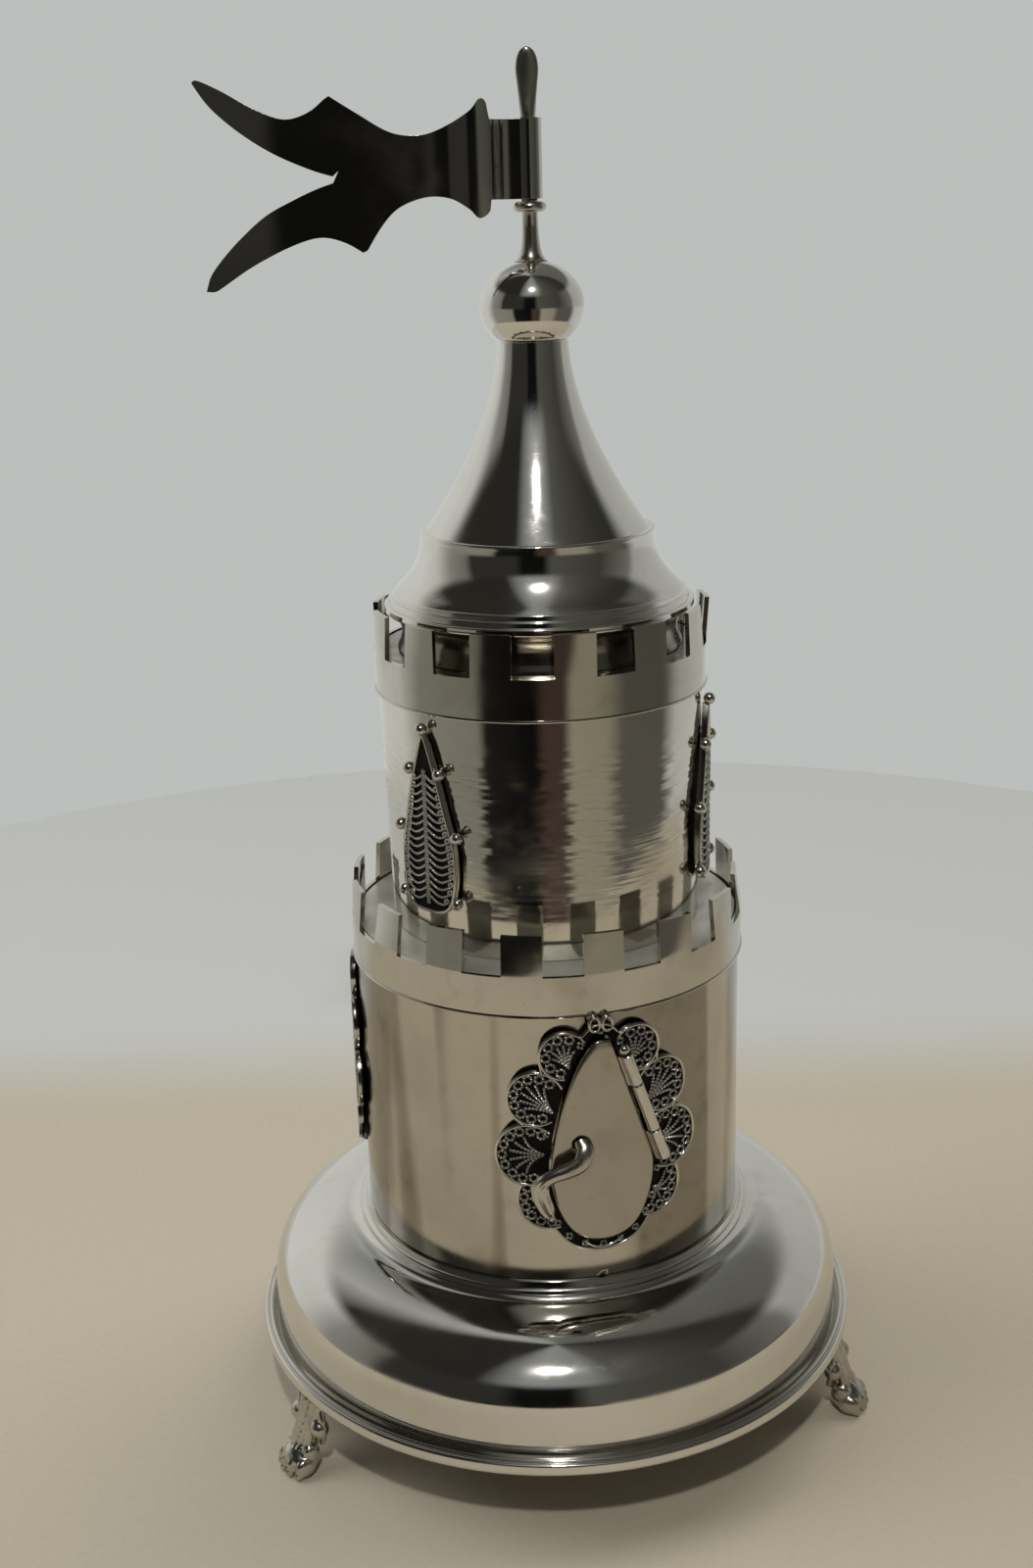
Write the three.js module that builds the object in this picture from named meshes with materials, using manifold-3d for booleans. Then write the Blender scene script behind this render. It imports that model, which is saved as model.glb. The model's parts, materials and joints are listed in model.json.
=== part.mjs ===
// Spice tower of sheet silver: a domed base on three cast feet carries two drums with
// battlements, a bell-shaped roof, a ball and a rod with a swivelling flag.
// The lower drum has a teardrop door in a lobed filigree surround.
// Millimetres, +Z up, the door faces -Y, the tower stands on z = 0.

import * as THREE from 'three';
import { mergeVertices } from 'three/addons/utils/BufferGeometryUtils.js';
import Module from 'manifold-3d';

const wasm = await Module();
wasm.setup();

// Fineness of the round work
const ROUND_STEPS = 28;
const PLATE_STEPS = 36;
const SMALL_STEPS = 10;
const WIRE_STEPS = 7;
const WELL_STEPS = 7;

// Fits
const SEAM = 0.1;
const RUNNING = 0.25;

// Base
const FOOT_HEIGHT = 13;
const FOOT_OVERHANG = 5;
const FOOT_WIDTH = 7.6;
const FOOT_ANGLES = [-67.5, 57.2, 175.8];
const LEG_INSET = 2.4;
const RIM_RADIUS = 52;
const RIM_WIDTH = 2.6;
const RIM_HEIGHT = 2.6;
const BAND_HEIGHT = 9;
const DOME_RISE = 10.5;
const DOME_EDGE = 36;
const DOME_FULLNESS = 1.85;
const DOME_STEPS = 6;
const DOME_WALL = 1.1;
const STEP_RADIUS = 35.3;
const STEP_HEIGHT = 2.8;
const SEAT_RADIUS = 33.8;
const SEAT_OPENING = 28;

// Lower drum
const LOWER_RADIUS = 32.1;
const LOWER_WALL = 0.9;
const LOWER_FLOOR = 1;

// Battlements
const BATTLEMENT_BAND = 6.6;
const BATTLEMENT_WALL = 1;
const BATTLEMENT_PROUD = 0.46;
const MERLON_HEIGHT = 6.6;
const LOWER_MERLONS = 16;
const LOWER_MERLON_TURN = 1.8;
const UPPER_MERLONS = 13;
const UPPER_MERLON_TURN = -2.4;
const LEDGE_SHEET = 1;
const LEDGE_DROP = 0.2;
const LEDGE_OPENING = 23;

// Upper drum
const UPPER_RADIUS = 26.2;
const UPPER_FOOT_RADIUS = 25.5;
const UPPER_WALL = 0.9;
const UPPER_HEIGHT = 38.5;

// Roof
const ROOF_WALL = 1;
const EAVES_CLEARANCE = 0.96;
const COLLAR_INSET = 2.5;
const COLLAR_HEIGHT = 6.3;
const EAVES_HEIGHT = 3.2;
const SHOULDER_RADIUS = 22.6;
const SHOULDER_HEIGHT = 8.3;
const SHOULDER_CURVE = 2.2;
const CREASE_RADIUS = 18.5;
const CREASE_HEIGHT = 0.6;
const CONE_RADIUS = 17.6;
const CONE_HEIGHT = 28.6;
const CONE_CURVE = 1.7;
const SHOULDER_STEPS = 3;
const CONE_STEPS = 5;
const NECK_RADIUS = 5.5;

// Finial
const BALL_RADIUS = 8;
const BALL_HALF_HEIGHT = 6.9;
const ROD_RADIUS = 1.2;
const ROD_FOOT_RADIUS = 1.7;
const ROD_FLARE = 2.6;
const STOP_RADIUS = 2.5;
const STOP_THICKNESS = 1.8;
const STOP_HEIGHT = 7.6;
const PADDLE_HEIGHT = 9.6;
const PADDLE_HALF_WIDTH = 1.7;
const PADDLE_HALF_DEPTH = 0.65;
const PADDLE_TURN = -13.7;

// Flag
const SLEEVE_RADIUS = 2.05;
const SLEEVE_BORE = 1.45;
const SLEEVE_HEIGHT = 11.4;
const FLAG_SHEET = 0.6;
const FLAG_STRAP = 4.6;
const FLAG_LENGTH = 45.2;
const FLAG_HEIGHT = 30;
const FLAG_TURN = -13.7;

// Door and its filigree surround, as heights above the drum's foot
const DOOR_HALF_WIDTH = 8;
const DOOR_HEIGHT = 33.8;
const DOOR_LIFT = 8.2;
const DOOR_HEADROOM = 3.8;
const DOOR_SHEET = 1.2;
const DOOR_PROUD = 0.6;
const DOOR_CLEARANCE = 0.5;
const DOORWAY_LAP = 1.3;
const PLAQUE_CLEARANCE = 0.14;
const PLAQUE_THICKNESS = 1.3;
const PLAQUE_RELIEF = 0.6;
const PLAQUE_RIM = 0.7;
const PLAQUE_FRAME = 1;
const SIDE_PLAQUE_ANGLE = 117;
const LOOP_RADIUS = 1.4;
const LOOP_OPENING = 0.75;

// Lobes of the surround: distance aside and radius as shares of the door's half width,
// with the height above the door's foot as a share of its height between them
const LOBES = [
  [0.72, 0.932, 0.515],
  [1.29, 0.72, 0.59],
  [1.46, 0.435, 0.675],
  [1.06, 0.204, 0.66],
  [0, 0.056, 0.53],
];

// Hinge barrel along the door's right flank; its ends are shares of the door's half width
// and height
const BARREL_RADIUS = 0.95;
const BARREL_BORE = 0.62;
const BARREL_PROUD = 0.8;
const BARREL_TOP = [0.4125, 0.941];
const BARREL_FOOT = [1.2125, 0.373];
const KNUCKLE_SPLITS = [0.36, 0.72];
const KNUCKLE_GAP = 0.25;
const STRAP_REACH = 2;
const FIXED_STRAP_REACH = 1.5;
const STRAP_DROP = 0.35;
const STRAP_LAP = 0.25;
const PIN_RADIUS = 0.4;
const PIN_HEAD = 0.9;

// Scroll handle
const HANDLE_RADIUS = 1.05;
const HANDLE_STAND_OFF = 1.9;

// Teardrop ornaments on the upper drum
const DROP_ANGLES = [-56, 64, 184];
const DROP_HALF_WIDTH = 6;
const DROP_HEIGHT = 29.2;
const DROP_LIFT = 6.5;
const DROP_THICKNESS = 1.5;
const DROP_RELIEF = 0.6;
const DROP_RIM = 0.6;
const BEAD_RADIUS = 0.95;

// Beads as shares of the ornament's half width and height
const BEADS = [
  [0, 1.015],
  [0.5, 0.79],
  [0.97, 0.455],
  [0.92, 0.085],
];

// Right side of a teardrop from its tip, as shares of its half width and height
const FULL_TEARDROP = [[0, 1], [0.19, 0.985], [0.5, 0.87], [0.82, 0.63], [1, 0.31], [0.66, 0.07]];
const SLIM_TEARDROP = [[0, 1], [0.12, 0.96], [0.35, 0.81], [0.65, 0.6], [0.95, 0.33], [0.75, 0.05]];

const radians = THREE.MathUtils.degToRad;

// Levels that follow from the sizes
const rimBase = FOOT_HEIGHT;
const bandRadius = RIM_RADIUS - RIM_WIDTH;
const bandTop = rimBase + BAND_HEIGHT;
const domeTop = bandTop + DOME_RISE;
const seatTop = domeTop + STEP_HEIGHT;
const lowerFoot = seatTop + SEAM;
const lowerSeam = lowerFoot + DOOR_LIFT + DOOR_HEIGHT + DOOR_HEADROOM;
const ledgeTop = lowerSeam + BATTLEMENT_BAND - LEDGE_DROP;
const upperFoot = ledgeTop + SEAM;
const upperSeam = upperFoot + UPPER_HEIGHT;
const deckTop = upperSeam + BATTLEMENT_BAND - LEDGE_DROP;
const roofFoot = deckTop + SEAM;
const eavesFoot = roofFoot + COLLAR_HEIGHT;
const shoulderFoot = eavesFoot + EAVES_HEIGHT;
const creaseFoot = shoulderFoot + SHOULDER_HEIGHT;
const coneFoot = creaseFoot + CREASE_HEIGHT;
const neckTop = coneFoot + CONE_HEIGHT;
const doorFoot = lowerFoot + DOOR_LIFT;

// Radii that follow from the sizes
const lowerBattlementRadius = LOWER_RADIUS + BATTLEMENT_PROUD;
const upperBattlementRadius = UPPER_RADIUS + BATTLEMENT_PROUD;
const eavesRadius = upperBattlementRadius - BATTLEMENT_WALL - EAVES_CLEARANCE;
const collarRadius = eavesRadius - COLLAR_INSET;
const plaqueBack = lowerBattlementRadius + PLAQUE_CLEARANCE;
const plaqueFace = plaqueBack + PLAQUE_THICKNESS;
const doorFace = plaqueFace + DOOR_PROUD;
const doorBack = doorFace - DOOR_SHEET;
const barrelCentre = doorFace + BARREL_PROUD;
const dropBack = UPPER_RADIUS + PLAQUE_CLEARANCE;
const dropFace = dropBack + DROP_THICKNESS;

// Closed mesh as a solid that can be joined and cut
function solid(geometry) {
  const bare = geometry.clone();
  bare.deleteAttribute('normal');
  bare.deleteAttribute('uv');
  const merged = mergeVertices(bare, 1e-4);
  return new wasm.Manifold(
    new wasm.Mesh({
      numProp: 3,
      vertProperties: new Float32Array(merged.attributes.position.array),
      triVerts: new Uint32Array(merged.index.array),
    }),
  );
}

function unite(solids) {
  return solids.reduce((whole, next) => whole.add(next));
}

function geometryOf(body) {
  const mesh = body.getMesh();
  const geometry = new THREE.BufferGeometry();
  geometry.setAttribute('position', new THREE.BufferAttribute(mesh.vertProperties, 3));
  geometry.setIndex(new THREE.BufferAttribute(mesh.triVerts, 1));
  geometry.computeVertexNormals();
  return geometry;
}

// Profile of [radius, height] points turned about the tower's axis
function turned(profile, steps = ROUND_STEPS) {
  const points = profile.map(([radius, height]) => new THREE.Vector2(radius, height));
  const geometry = new THREE.LatheGeometry(points, steps);
  geometry.rotateX(Math.PI / 2);
  return geometry;
}

// Ring of rectangular section
function ring(inner, outer, low, high, steps = ROUND_STEPS) {
  return turned([[inner, low], [outer, low], [outer, high], [inner, high], [inner, low]], steps);
}

// Inner side of a spun wall, set in by the wall's thickness square to the curve, and plainer
function setIn(curve, wall) {
  const inside = curve.map(([radius, height], index) => {
    const before = curve[Math.max(index - 1, 0)];
    const after = curve[Math.min(index + 1, curve.length - 1)];
    const run = after[0] - before[0];
    const rise = after[1] - before[1];
    const length = Math.hypot(run, rise);
    return [radius - (wall * rise) / length, height + (wall * run) / length];
  });
  return inside.filter((_, index) => index % 2 === 0 || index === curve.length - 1);
}

// Outline of [aside, height] points as a block that runs out towards the door side
function block(outline, near, far) {
  const shape = new THREE.Shape(outline.map(([x, y]) => new THREE.Vector2(x, y)));
  const geometry = new THREE.ExtrudeGeometry(shape, { depth: far - near, bevelEnabled: false });
  geometry.translate(0, 0, near);
  geometry.rotateX(Math.PI / 2);
  return solid(geometry);
}

// The same outline measured along a round wall, cut to the space between two radii
function onWall(outline, inner, outer) {
  const middle = (inner + outer) / 2;
  const heights = outline.map(([, height]) => height);
  const low = Math.min(...heights) - 1;
  const high = Math.max(...heights) + 1;
  const wrapped = outline.map(([arc, height]) => [middle * Math.sin(arc / middle), height]);
  const shell = solid(ring(inner, outer, low, high, PLATE_STEPS));
  return block(wrapped, inner / 2, outer + 1).intersect(shell);
}

function disc(aside, height, radius, steps = SMALL_STEPS) {
  return Array.from({ length: steps }, (_, index) => {
    const angle = (index * 2 * Math.PI) / steps;
    return [aside + radius * Math.cos(angle), height + radius * Math.sin(angle)];
  });
}

// Teardrop standing on its round end; grown or shrunk evenly by the margin
function teardrop(halfWidth, height, foot, margin = 0, shares = FULL_TEARDROP) {
  const right = shares.map(([wide, high]) => new THREE.Vector2(wide, high));
  const left = shares.slice(1).reverse().map(([wide, high]) => new THREE.Vector2(-wide, high));
  const curve = new THREE.SplineCurve([...right, new THREE.Vector2(0, 0), ...left, right[0]]);
  return curve.getPoints(18).slice(1).reverse().map((share) => [
    share.x * (halfWidth + margin),
    foot - margin + share.y * (height + 2 * margin),
  ]);
}

// Round bar through sections, each a middle point with its two half axes
function lofted(sections, steps = SMALL_STEPS) {
  const rows = sections.length - 1;
  const geometry = new THREE.CylinderGeometry(1, 1, 1, steps, rows);
  const position = geometry.attributes.position;
  const point = new THREE.Vector3();
  for (let index = 0; index < position.count; index += 1) {
    const section = sections[Math.round((position.getY(index) + 0.5) * rows)];
    point.copy(section.middle);
    point.addScaledVector(section.across, position.getX(index));
    point.addScaledVector(section.along, position.getZ(index));
    position.setXYZ(index, point.x, point.y, point.z);
  }
  return geometry;
}

function ball(radius, x, y, z, around = WIRE_STEPS, down = 4) {
  const geometry = new THREE.SphereGeometry(radius, around, down);
  geometry.rotateX(Math.PI / 2);
  geometry.translate(x, y, z);
  return geometry;
}

// Point at shares of the door's half width and height, at a radius from the tower's axis
function doorPoint(aside, high, radius) {
  const angle = (aside * DOOR_HALF_WIDTH) / plaqueFace;
  const height = doorFoot + high * DOOR_HEIGHT;
  return new THREE.Vector3(radius * Math.sin(angle), -radius * Math.cos(angle), height);
}

function silver(shade, roughness) {
  return new THREE.MeshStandardMaterial({ color: shade, metalness: 1, roughness });
}

function piece(name, shape, shade = 0xbcb9b2, roughness = 0.16) {
  const geometry = shape.isBufferGeometry ? shape : geometryOf(shape);
  const mesh = new THREE.Mesh(geometry, silver(shade, roughness));
  mesh.name = name;
  return mesh;
}

// Base rim: half-round ring with a raised lip outside a groove
function baseRim() {
  const inner = bandRadius + SEAM;
  const top = rimBase + RIM_HEIGHT;
  return turned([
    [inner, rimBase],
    [RIM_RADIUS - 0.7, rimBase],
    [RIM_RADIUS, rimBase + RIM_HEIGHT * 0.35],
    [RIM_RADIUS, rimBase + RIM_HEIGHT * 0.7],
    [RIM_RADIUS - 0.6, top],
    [RIM_RADIUS - 1.3, top],
    [RIM_RADIUS - 1.7, top - 0.9],
    [inner, top - 0.9],
    [inner, rimBase],
  ]);
}

// Base dome: upright band, full dome, then a stepped seat for the drum
function baseDome() {
  const dome = [];
  for (let index = 0; index <= DOME_STEPS; index += 1) {
    const angle = (index / DOME_STEPS) * (Math.PI / 2);
    const share = Math.cos(angle) ** (2 / DOME_FULLNESS);
    const lift = Math.sin(angle) ** (2 / DOME_FULLNESS);
    dome.push([DOME_EDGE + (bandRadius - DOME_EDGE) * share, bandTop + DOME_RISE * lift]);
  }
  const wall = [[bandRadius, rimBase + SEAM], ...dome];
  const inside = setIn(wall, DOME_WALL).reverse();
  const stepTop = domeTop + STEP_HEIGHT * 0.55;
  return turned([
    ...wall,
    [STEP_RADIUS, domeTop + 0.5],
    [STEP_RADIUS, stepTop],
    [SEAT_RADIUS, stepTop + 0.3],
    [SEAT_RADIUS - 0.3, seatTop],
    [SEAT_OPENING, seatTop],
    [SEAT_OPENING, seatTop - DOME_WALL],
    [SEAT_RADIUS - DOME_WALL, seatTop - DOME_WALL],
    ...inside,
    wall[0],
  ]);
}

// Cast foot: a leg under the rim that swells into a paw with three toes
function foot() {
  const shares = [
    [0, 0.15, 2.7, 0.42],
    [0.1, 0, 3.4, 0.5],
    [0.22, 0.03, 3.3, 0.5],
    [0.36, 0.25, 2.6, 0.43],
    [0.52, 0.5, 1.9, 0.36],
    [0.7, 0.72, 1.8, 0.38],
    [0.88, 0.92, 1.9, 0.46],
    [1, 1, 2.1, 0.54],
  ];
  const reach = RIM_RADIUS + FOOT_OVERHANG;
  const pawMiddle = reach - shares[1][2];
  const back = pawMiddle - (RIM_RADIUS - LEG_INSET);
  const sections = shares.map(([high, inward, depth, width]) => ({
    middle: new THREE.Vector3(0, inward * back - pawMiddle, high * (FOOT_HEIGHT - SEAM)),
    across: new THREE.Vector3(width * FOOT_WIDTH, 0, 0),
    along: new THREE.Vector3(0, -depth, 0),
  }));
  const leg = solid(lofted(sections));
  const toes = [-1, 0, 1].map((side) => {
    const aside = side * FOOT_WIDTH * 0.33;
    const front = reach - 1.9 - Math.abs(side) * 0.7;
    return solid(ball(1.8, aside, -front, 2));
  });
  const curls = [-1, 1].map((side) => {
    const height = FOOT_HEIGHT * 0.68;
    return solid(ball(1.6, side * FOOT_WIDTH * 0.42, back * 0.75 - pawMiddle, height));
  });
  return unite([leg, ...toes, ...curls]);
}

// Lower drum: cup with the doorway cut through its wall
function lowerDrum() {
  const inner = LOWER_RADIUS - LOWER_WALL;
  const cup = solid(turned([
    [0, lowerFoot],
    [LOWER_RADIUS, lowerFoot],
    [LOWER_RADIUS, lowerSeam - SEAM],
    [inner, lowerSeam - SEAM],
    [inner, lowerFoot + LOWER_FLOOR],
    [0, lowerFoot + LOWER_FLOOR],
  ]));
  const doorway = teardrop(DOOR_HALF_WIDTH, DOOR_HEIGHT, doorFoot, -DOORWAY_LAP);
  return cup.subtract(block(doorway, inner - 6, LOWER_RADIUS + 2));
}

// Battlement: standing strip whose upper half is cut into merlons
function battlement(radius, low, count, turn) {
  const cutFoot = low + BATTLEMENT_BAND;
  const top = cutFoot + MERLON_HEIGHT;
  const strip = solid(ring(radius - BATTLEMENT_WALL, radius, low, top));
  const pitch = (2 * Math.PI) / count;
  const width = 2 * radius * Math.sin(pitch / 4);
  const cuts = Array.from({ length: count }, (_, index) => {
    const cut = new THREE.BoxGeometry(width, 6, MERLON_HEIGHT + 1);
    cut.translate(0, -radius, cutFoot + (MERLON_HEIGHT + 1) / 2);
    cut.rotateZ(radians(turn) + (index + 0.5) * pitch);
    return solid(cut);
  });
  return strip.subtract(unite(cuts));
}

// Upper drum: open tube, a little wider at its top
function upperDrum() {
  const top = upperSeam - SEAM;
  return turned([
    [UPPER_FOOT_RADIUS - UPPER_WALL, upperFoot],
    [UPPER_FOOT_RADIUS, upperFoot],
    [UPPER_RADIUS, top],
    [UPPER_RADIUS - UPPER_WALL, top],
    [UPPER_FOOT_RADIUS - UPPER_WALL, upperFoot],
  ]);
}

// Hollow curve that falls quickly at first and then steeply, from one radius to the next
function sweep(fromRadius, toRadius, low, rise, bend, steps) {
  return Array.from({ length: steps + 1 }, (_, index) => {
    const share = index / steps;
    return [toRadius + (fromRadius - toRadius) * (1 - share) ** bend, low + rise * share];
  });
}

// Roof: collar, eaves moulding, hollow shoulder, crease ring and drawn-up cone, all one shell
function roof() {
  const shoulder = sweep(
    SHOULDER_RADIUS, CREASE_RADIUS, shoulderFoot, SHOULDER_HEIGHT, SHOULDER_CURVE, SHOULDER_STEPS,
  );
  const cone = sweep(CONE_RADIUS, NECK_RADIUS, coneFoot, CONE_HEIGHT, CONE_CURVE, CONE_STEPS);
  const inside = setIn([...shoulder, ...cone], ROOF_WALL);
  inside[inside.length - 1][1] = neckTop - ROOF_WALL;
  return turned([
    [collarRadius + 0.6, roofFoot],
    [collarRadius, roofFoot + COLLAR_HEIGHT * 0.3],
    [collarRadius, roofFoot + COLLAR_HEIGHT * 0.6],
    [eavesRadius - 0.5, eavesFoot - 0.3],
    [eavesRadius, eavesFoot],
    [eavesRadius, eavesFoot + EAVES_HEIGHT * 0.3],
    [eavesRadius - 0.7, eavesFoot + EAVES_HEIGHT * 0.4],
    [eavesRadius - 1.2, eavesFoot + EAVES_HEIGHT * 0.75],
    ...shoulder,
    [CREASE_RADIUS, coneFoot],
    ...cone,
    [0, neckTop],
    [0, neckTop - ROOF_WALL],
    ...inside.reverse(),
    [eavesRadius - 2.6, eavesFoot + 0.6],
    [collarRadius - ROOF_WALL, roofFoot + COLLAR_HEIGHT * 0.6],
    [collarRadius - ROOF_WALL, roofFoot],
    [collarRadius + 0.6, roofFoot],
  ]);
}

// Height of the ball's surface above its middle at a radius
function ballRise(radius) {
  return BALL_HALF_HEIGHT * Math.sqrt(1 - (radius / BALL_RADIUS) ** 2);
}

const ballFoot = neckTop + SEAM;
const ballMiddle = ballFoot + ballRise(NECK_RADIUS);
const rodFoot = ballMiddle + ballRise(ROD_FOOT_RADIUS) + SEAM;
const stopMiddle = rodFoot + STOP_HEIGHT;
const sleeveFoot = stopMiddle + STOP_THICKNESS / 2 + RUNNING;
const sleeveTop = sleeveFoot + SLEEVE_HEIGHT;
const paddleFoot = sleeveTop + RUNNING;

function ballFinial() {
  const low = Math.asin(NECK_RADIUS / BALL_RADIUS);
  const high = Math.asin(ROD_FOOT_RADIUS / BALL_RADIUS);
  const profile = [[0, ballFoot]];
  for (let index = 0; index <= 8; index += 1) {
    const angle = low + ((Math.PI - high - low) * index) / 8;
    profile.push([
      BALL_RADIUS * Math.sin(angle),
      ballMiddle - BALL_HALF_HEIGHT * Math.cos(angle),
    ]);
  }
  profile.push([0, rodFoot - SEAM]);
  return turned(profile, 20);
}

// Rod with a flared foot, a stop ring under the flag and a flattened paddle end
function finialRod() {
  const halfStop = STOP_THICKNESS / 2;
  const rod = solid(turned([
    [0, rodFoot],
    [ROD_FOOT_RADIUS, rodFoot],
    [ROD_RADIUS + 0.1, rodFoot + ROD_FLARE],
    [ROD_RADIUS, rodFoot + ROD_FLARE * 1.8],
    [ROD_RADIUS, stopMiddle - halfStop],
    [STOP_RADIUS - 0.5, stopMiddle - halfStop],
    [STOP_RADIUS, stopMiddle],
    [STOP_RADIUS - 0.5, stopMiddle + halfStop],
    [ROD_RADIUS, stopMiddle + halfStop],
    [ROD_RADIUS, paddleFoot],
    [0, paddleFoot],
  ], SMALL_STEPS));
  const shares = [
    [-0.08, 0.6, 1.6],
    [0.12, 0.74, 1.35],
    [0.4, 0.88, 1.05],
    [0.7, 1, 0.95],
    [0.88, 0.82, 0.85],
    [0.97, 0.46, 0.6],
    [1, 0.12, 0.2],
  ];
  const paddle = solid(lofted(shares.map(([high, wide, deep]) => ({
    middle: new THREE.Vector3(0, 0, paddleFoot + high * PADDLE_HEIGHT),
    across: new THREE.Vector3(wide * PADDLE_HALF_WIDTH, 0, 0),
    along: new THREE.Vector3(0, -deep * PADDLE_HALF_DEPTH, 0),
  }))));
  return rod.add(paddle);
}

// Flag: swallow-tailed sheet with scalloped edges, bent beside a sleeve rolled round the rod.
// It hangs towards -X; the outline goes from the strap's top round to the strap's foot.
function flag() {
  const waist = sleeveFoot + SLEEVE_HEIGHT * 0.5;
  const outline = [
    [0.035, 0.58], [0.058, 0.56], [0.09, 0.54], [0.16, 0.47], [0.25, 0.42], [0.35, 0.44],
    [0.55, 0.62], [0.62, 0.54], [0.7, 0.52], [0.8, 0.57], [0.98, 0.72], [1, 0.7],
    [0.94, 0.58], [0.85, 0.47], [0.74, 0.36], [0.62, 0.28], [0.535, 0.24],
    [0.54, 0.215], [0.66, 0.15], [0.78, 0.07], [0.92, -0.1], [0.985, -0.22], [1, -0.3],
    [0.96, -0.3], [0.83, -0.18], [0.7, -0.09], [0.6, -0.05], [0.52, -0.07],
    [0.45, -0.13], [0.39, 0], [0.33, 0.08], [0.24, 0.13], [0.16, 0.12], [0.1, 0.08],
    [0.06, 0.03], [0.03, 0.04],
  ];
  const sheet = block(
    outline.map(([along, high]) => [
      -(FLAG_STRAP + along * FLAG_LENGTH),
      waist + (high - 0.3) * FLAG_HEIGHT,
    ]),
    -8,
    8,
  );
  const strap = block([
    [-(FLAG_STRAP + 3), sleeveTop],
    [-(FLAG_STRAP + 3), sleeveFoot],
    [0, sleeveFoot],
    [0, sleeveTop],
  ], -8, 8);
  const side = (SLEEVE_RADIUS + SLEEVE_BORE) / 2;
  const bend = new THREE.SplineCurve([
    new THREE.Vector2(0, side),
    new THREE.Vector2(-FLAG_STRAP * 0.75, side),
    new THREE.Vector2(-FLAG_STRAP - 2.2, -0.3),
    new THREE.Vector2(-FLAG_STRAP - 4.6, -0.2),
    new THREE.Vector2(-FLAG_STRAP - 7.6, 0.5),
    new THREE.Vector2(-FLAG_STRAP - 12, 0.2),
    new THREE.Vector2(-FLAG_STRAP - FLAG_LENGTH - 1, 0),
  ]).getPoints(16);
  const halfSheet = FLAG_SHEET / 2;
  const plan = new THREE.Shape([
    ...bend.map((point) => new THREE.Vector2(point.x, point.y + halfSheet)),
    ...bend.reverse().map((point) => new THREE.Vector2(point.x, point.y - halfSheet)),
  ]);
  const tall = new THREE.ExtrudeGeometry(plan, { depth: 2 * FLAG_HEIGHT, bevelEnabled: false });
  tall.translate(0, 0, waist - FLAG_HEIGHT);
  const sleeve = solid(ring(SLEEVE_BORE, SLEEVE_RADIUS, sleeveFoot, sleeveTop, SMALL_STEPS + 4));
  const bore = solid(turned([
    [0, sleeveFoot - 1],
    [SLEEVE_BORE, sleeveFoot - 1],
    [SLEEVE_BORE, sleeveTop + 1],
    [0, sleeveTop + 1],
  ], SMALL_STEPS + 4));
  return sheet.add(strap).intersect(solid(tall)).add(sleeve).subtract(bore);
}

// Lobed plaque: raised rims round sunk filigree grounds, with a frame round its middle
function lobedPlaque() {
  const sides = LOBES.flatMap(([aside, high, radius]) => {
    const size = [high * DOOR_HEIGHT, radius * DOOR_HALF_WIDTH];
    const across = aside * DOOR_HALF_WIDTH;
    return aside === 0 ? [[0, ...size]] : [[across, ...size], [-across, ...size]];
  });
  const grownDoor = (margin) => teardrop(DOOR_HALF_WIDTH, DOOR_HEIGHT, doorFoot, margin);
  const loopHeight = doorFoot + DOOR_HEIGHT + DOOR_CLEARANCE + PLAQUE_FRAME + LOOP_RADIUS - 0.2;
  const body = unite([
    onWall(grownDoor(DOOR_CLEARANCE + 2.2 * PLAQUE_FRAME), plaqueBack, plaqueFace),
    ...sides.map(([aside, high, radius]) => (
      onWall(disc(aside, doorFoot + high, radius), plaqueBack, plaqueFace)
    )),
    ...[-1, 1].map((side) => (
      onWall(disc(side * LOOP_RADIUS * 0.95, loopHeight, LOOP_RADIUS, 8), plaqueBack, plaqueFace)
    )),
  ]);
  const ground = plaqueFace - PLAQUE_RELIEF;
  const wells = unite(sides.map(([aside, high, radius]) => (
    onWall(disc(aside, doorFoot + high, radius - PLAQUE_RIM, WELL_STEPS), ground, plaqueFace + 1)
  )));
  const frame = onWall(grownDoor(DOOR_CLEARANCE + PLAQUE_FRAME), plaqueBack, plaqueFace);
  const eyes = unite([-1, 1].map((side) => (
    onWall(disc(side * LOOP_RADIUS * 0.95, loopHeight, LOOP_OPENING, 6), plaqueBack - 1, plaqueFace + 1)
  )));
  return body.subtract(wells).add(frame).subtract(eyes);
}

// Hinge line: foot and top of the barrel, its direction, the way left and the way out
const barrelTop = doorPoint(...BARREL_TOP, barrelCentre);
const barrelFoot = doorPoint(...BARREL_FOOT, barrelCentre);
const barrelUp = barrelTop.clone().sub(barrelFoot).normalize();
const barrelMiddle = barrelTop.clone().add(barrelFoot).multiplyScalar(0.5);
const outward = new THREE.Vector3(barrelMiddle.x, barrelMiddle.y, 0);
outward.addScaledVector(barrelUp, -outward.dot(barrelUp)).normalize();
const leftward = new THREE.Vector3().crossVectors(outward, barrelUp);
const hingeFrame = new THREE.Matrix4().makeBasis(leftward, outward, barrelUp);
hingeFrame.setPosition(barrelFoot);
const barrelLength = barrelTop.distanceTo(barrelFoot);

// Knuckle tube between two shares of the barrel's length, with a strap to one side that
// laps onto a face at a radius
function knuckle(fromShare, toShare, reach, face) {
  const low = barrelLength * fromShare + KNUCKLE_GAP / 2;
  const high = barrelLength * toShare - KNUCKLE_GAP / 2;
  const tube = turned([[0, low], [BARREL_RADIUS, low], [BARREL_RADIUS, high], [0, high]], SMALL_STEPS);
  const strapTop = -STRAP_DROP;
  const strapFoot = face - STRAP_LAP - barrelCentre;
  const strap = new THREE.BoxGeometry(Math.abs(reach), strapTop - strapFoot, high - low);
  strap.translate(reach / 2, (strapTop + strapFoot) / 2, (low + high) / 2);
  return solid(tube.applyMatrix4(hingeFrame)).add(solid(strap.applyMatrix4(hingeFrame)));
}

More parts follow.
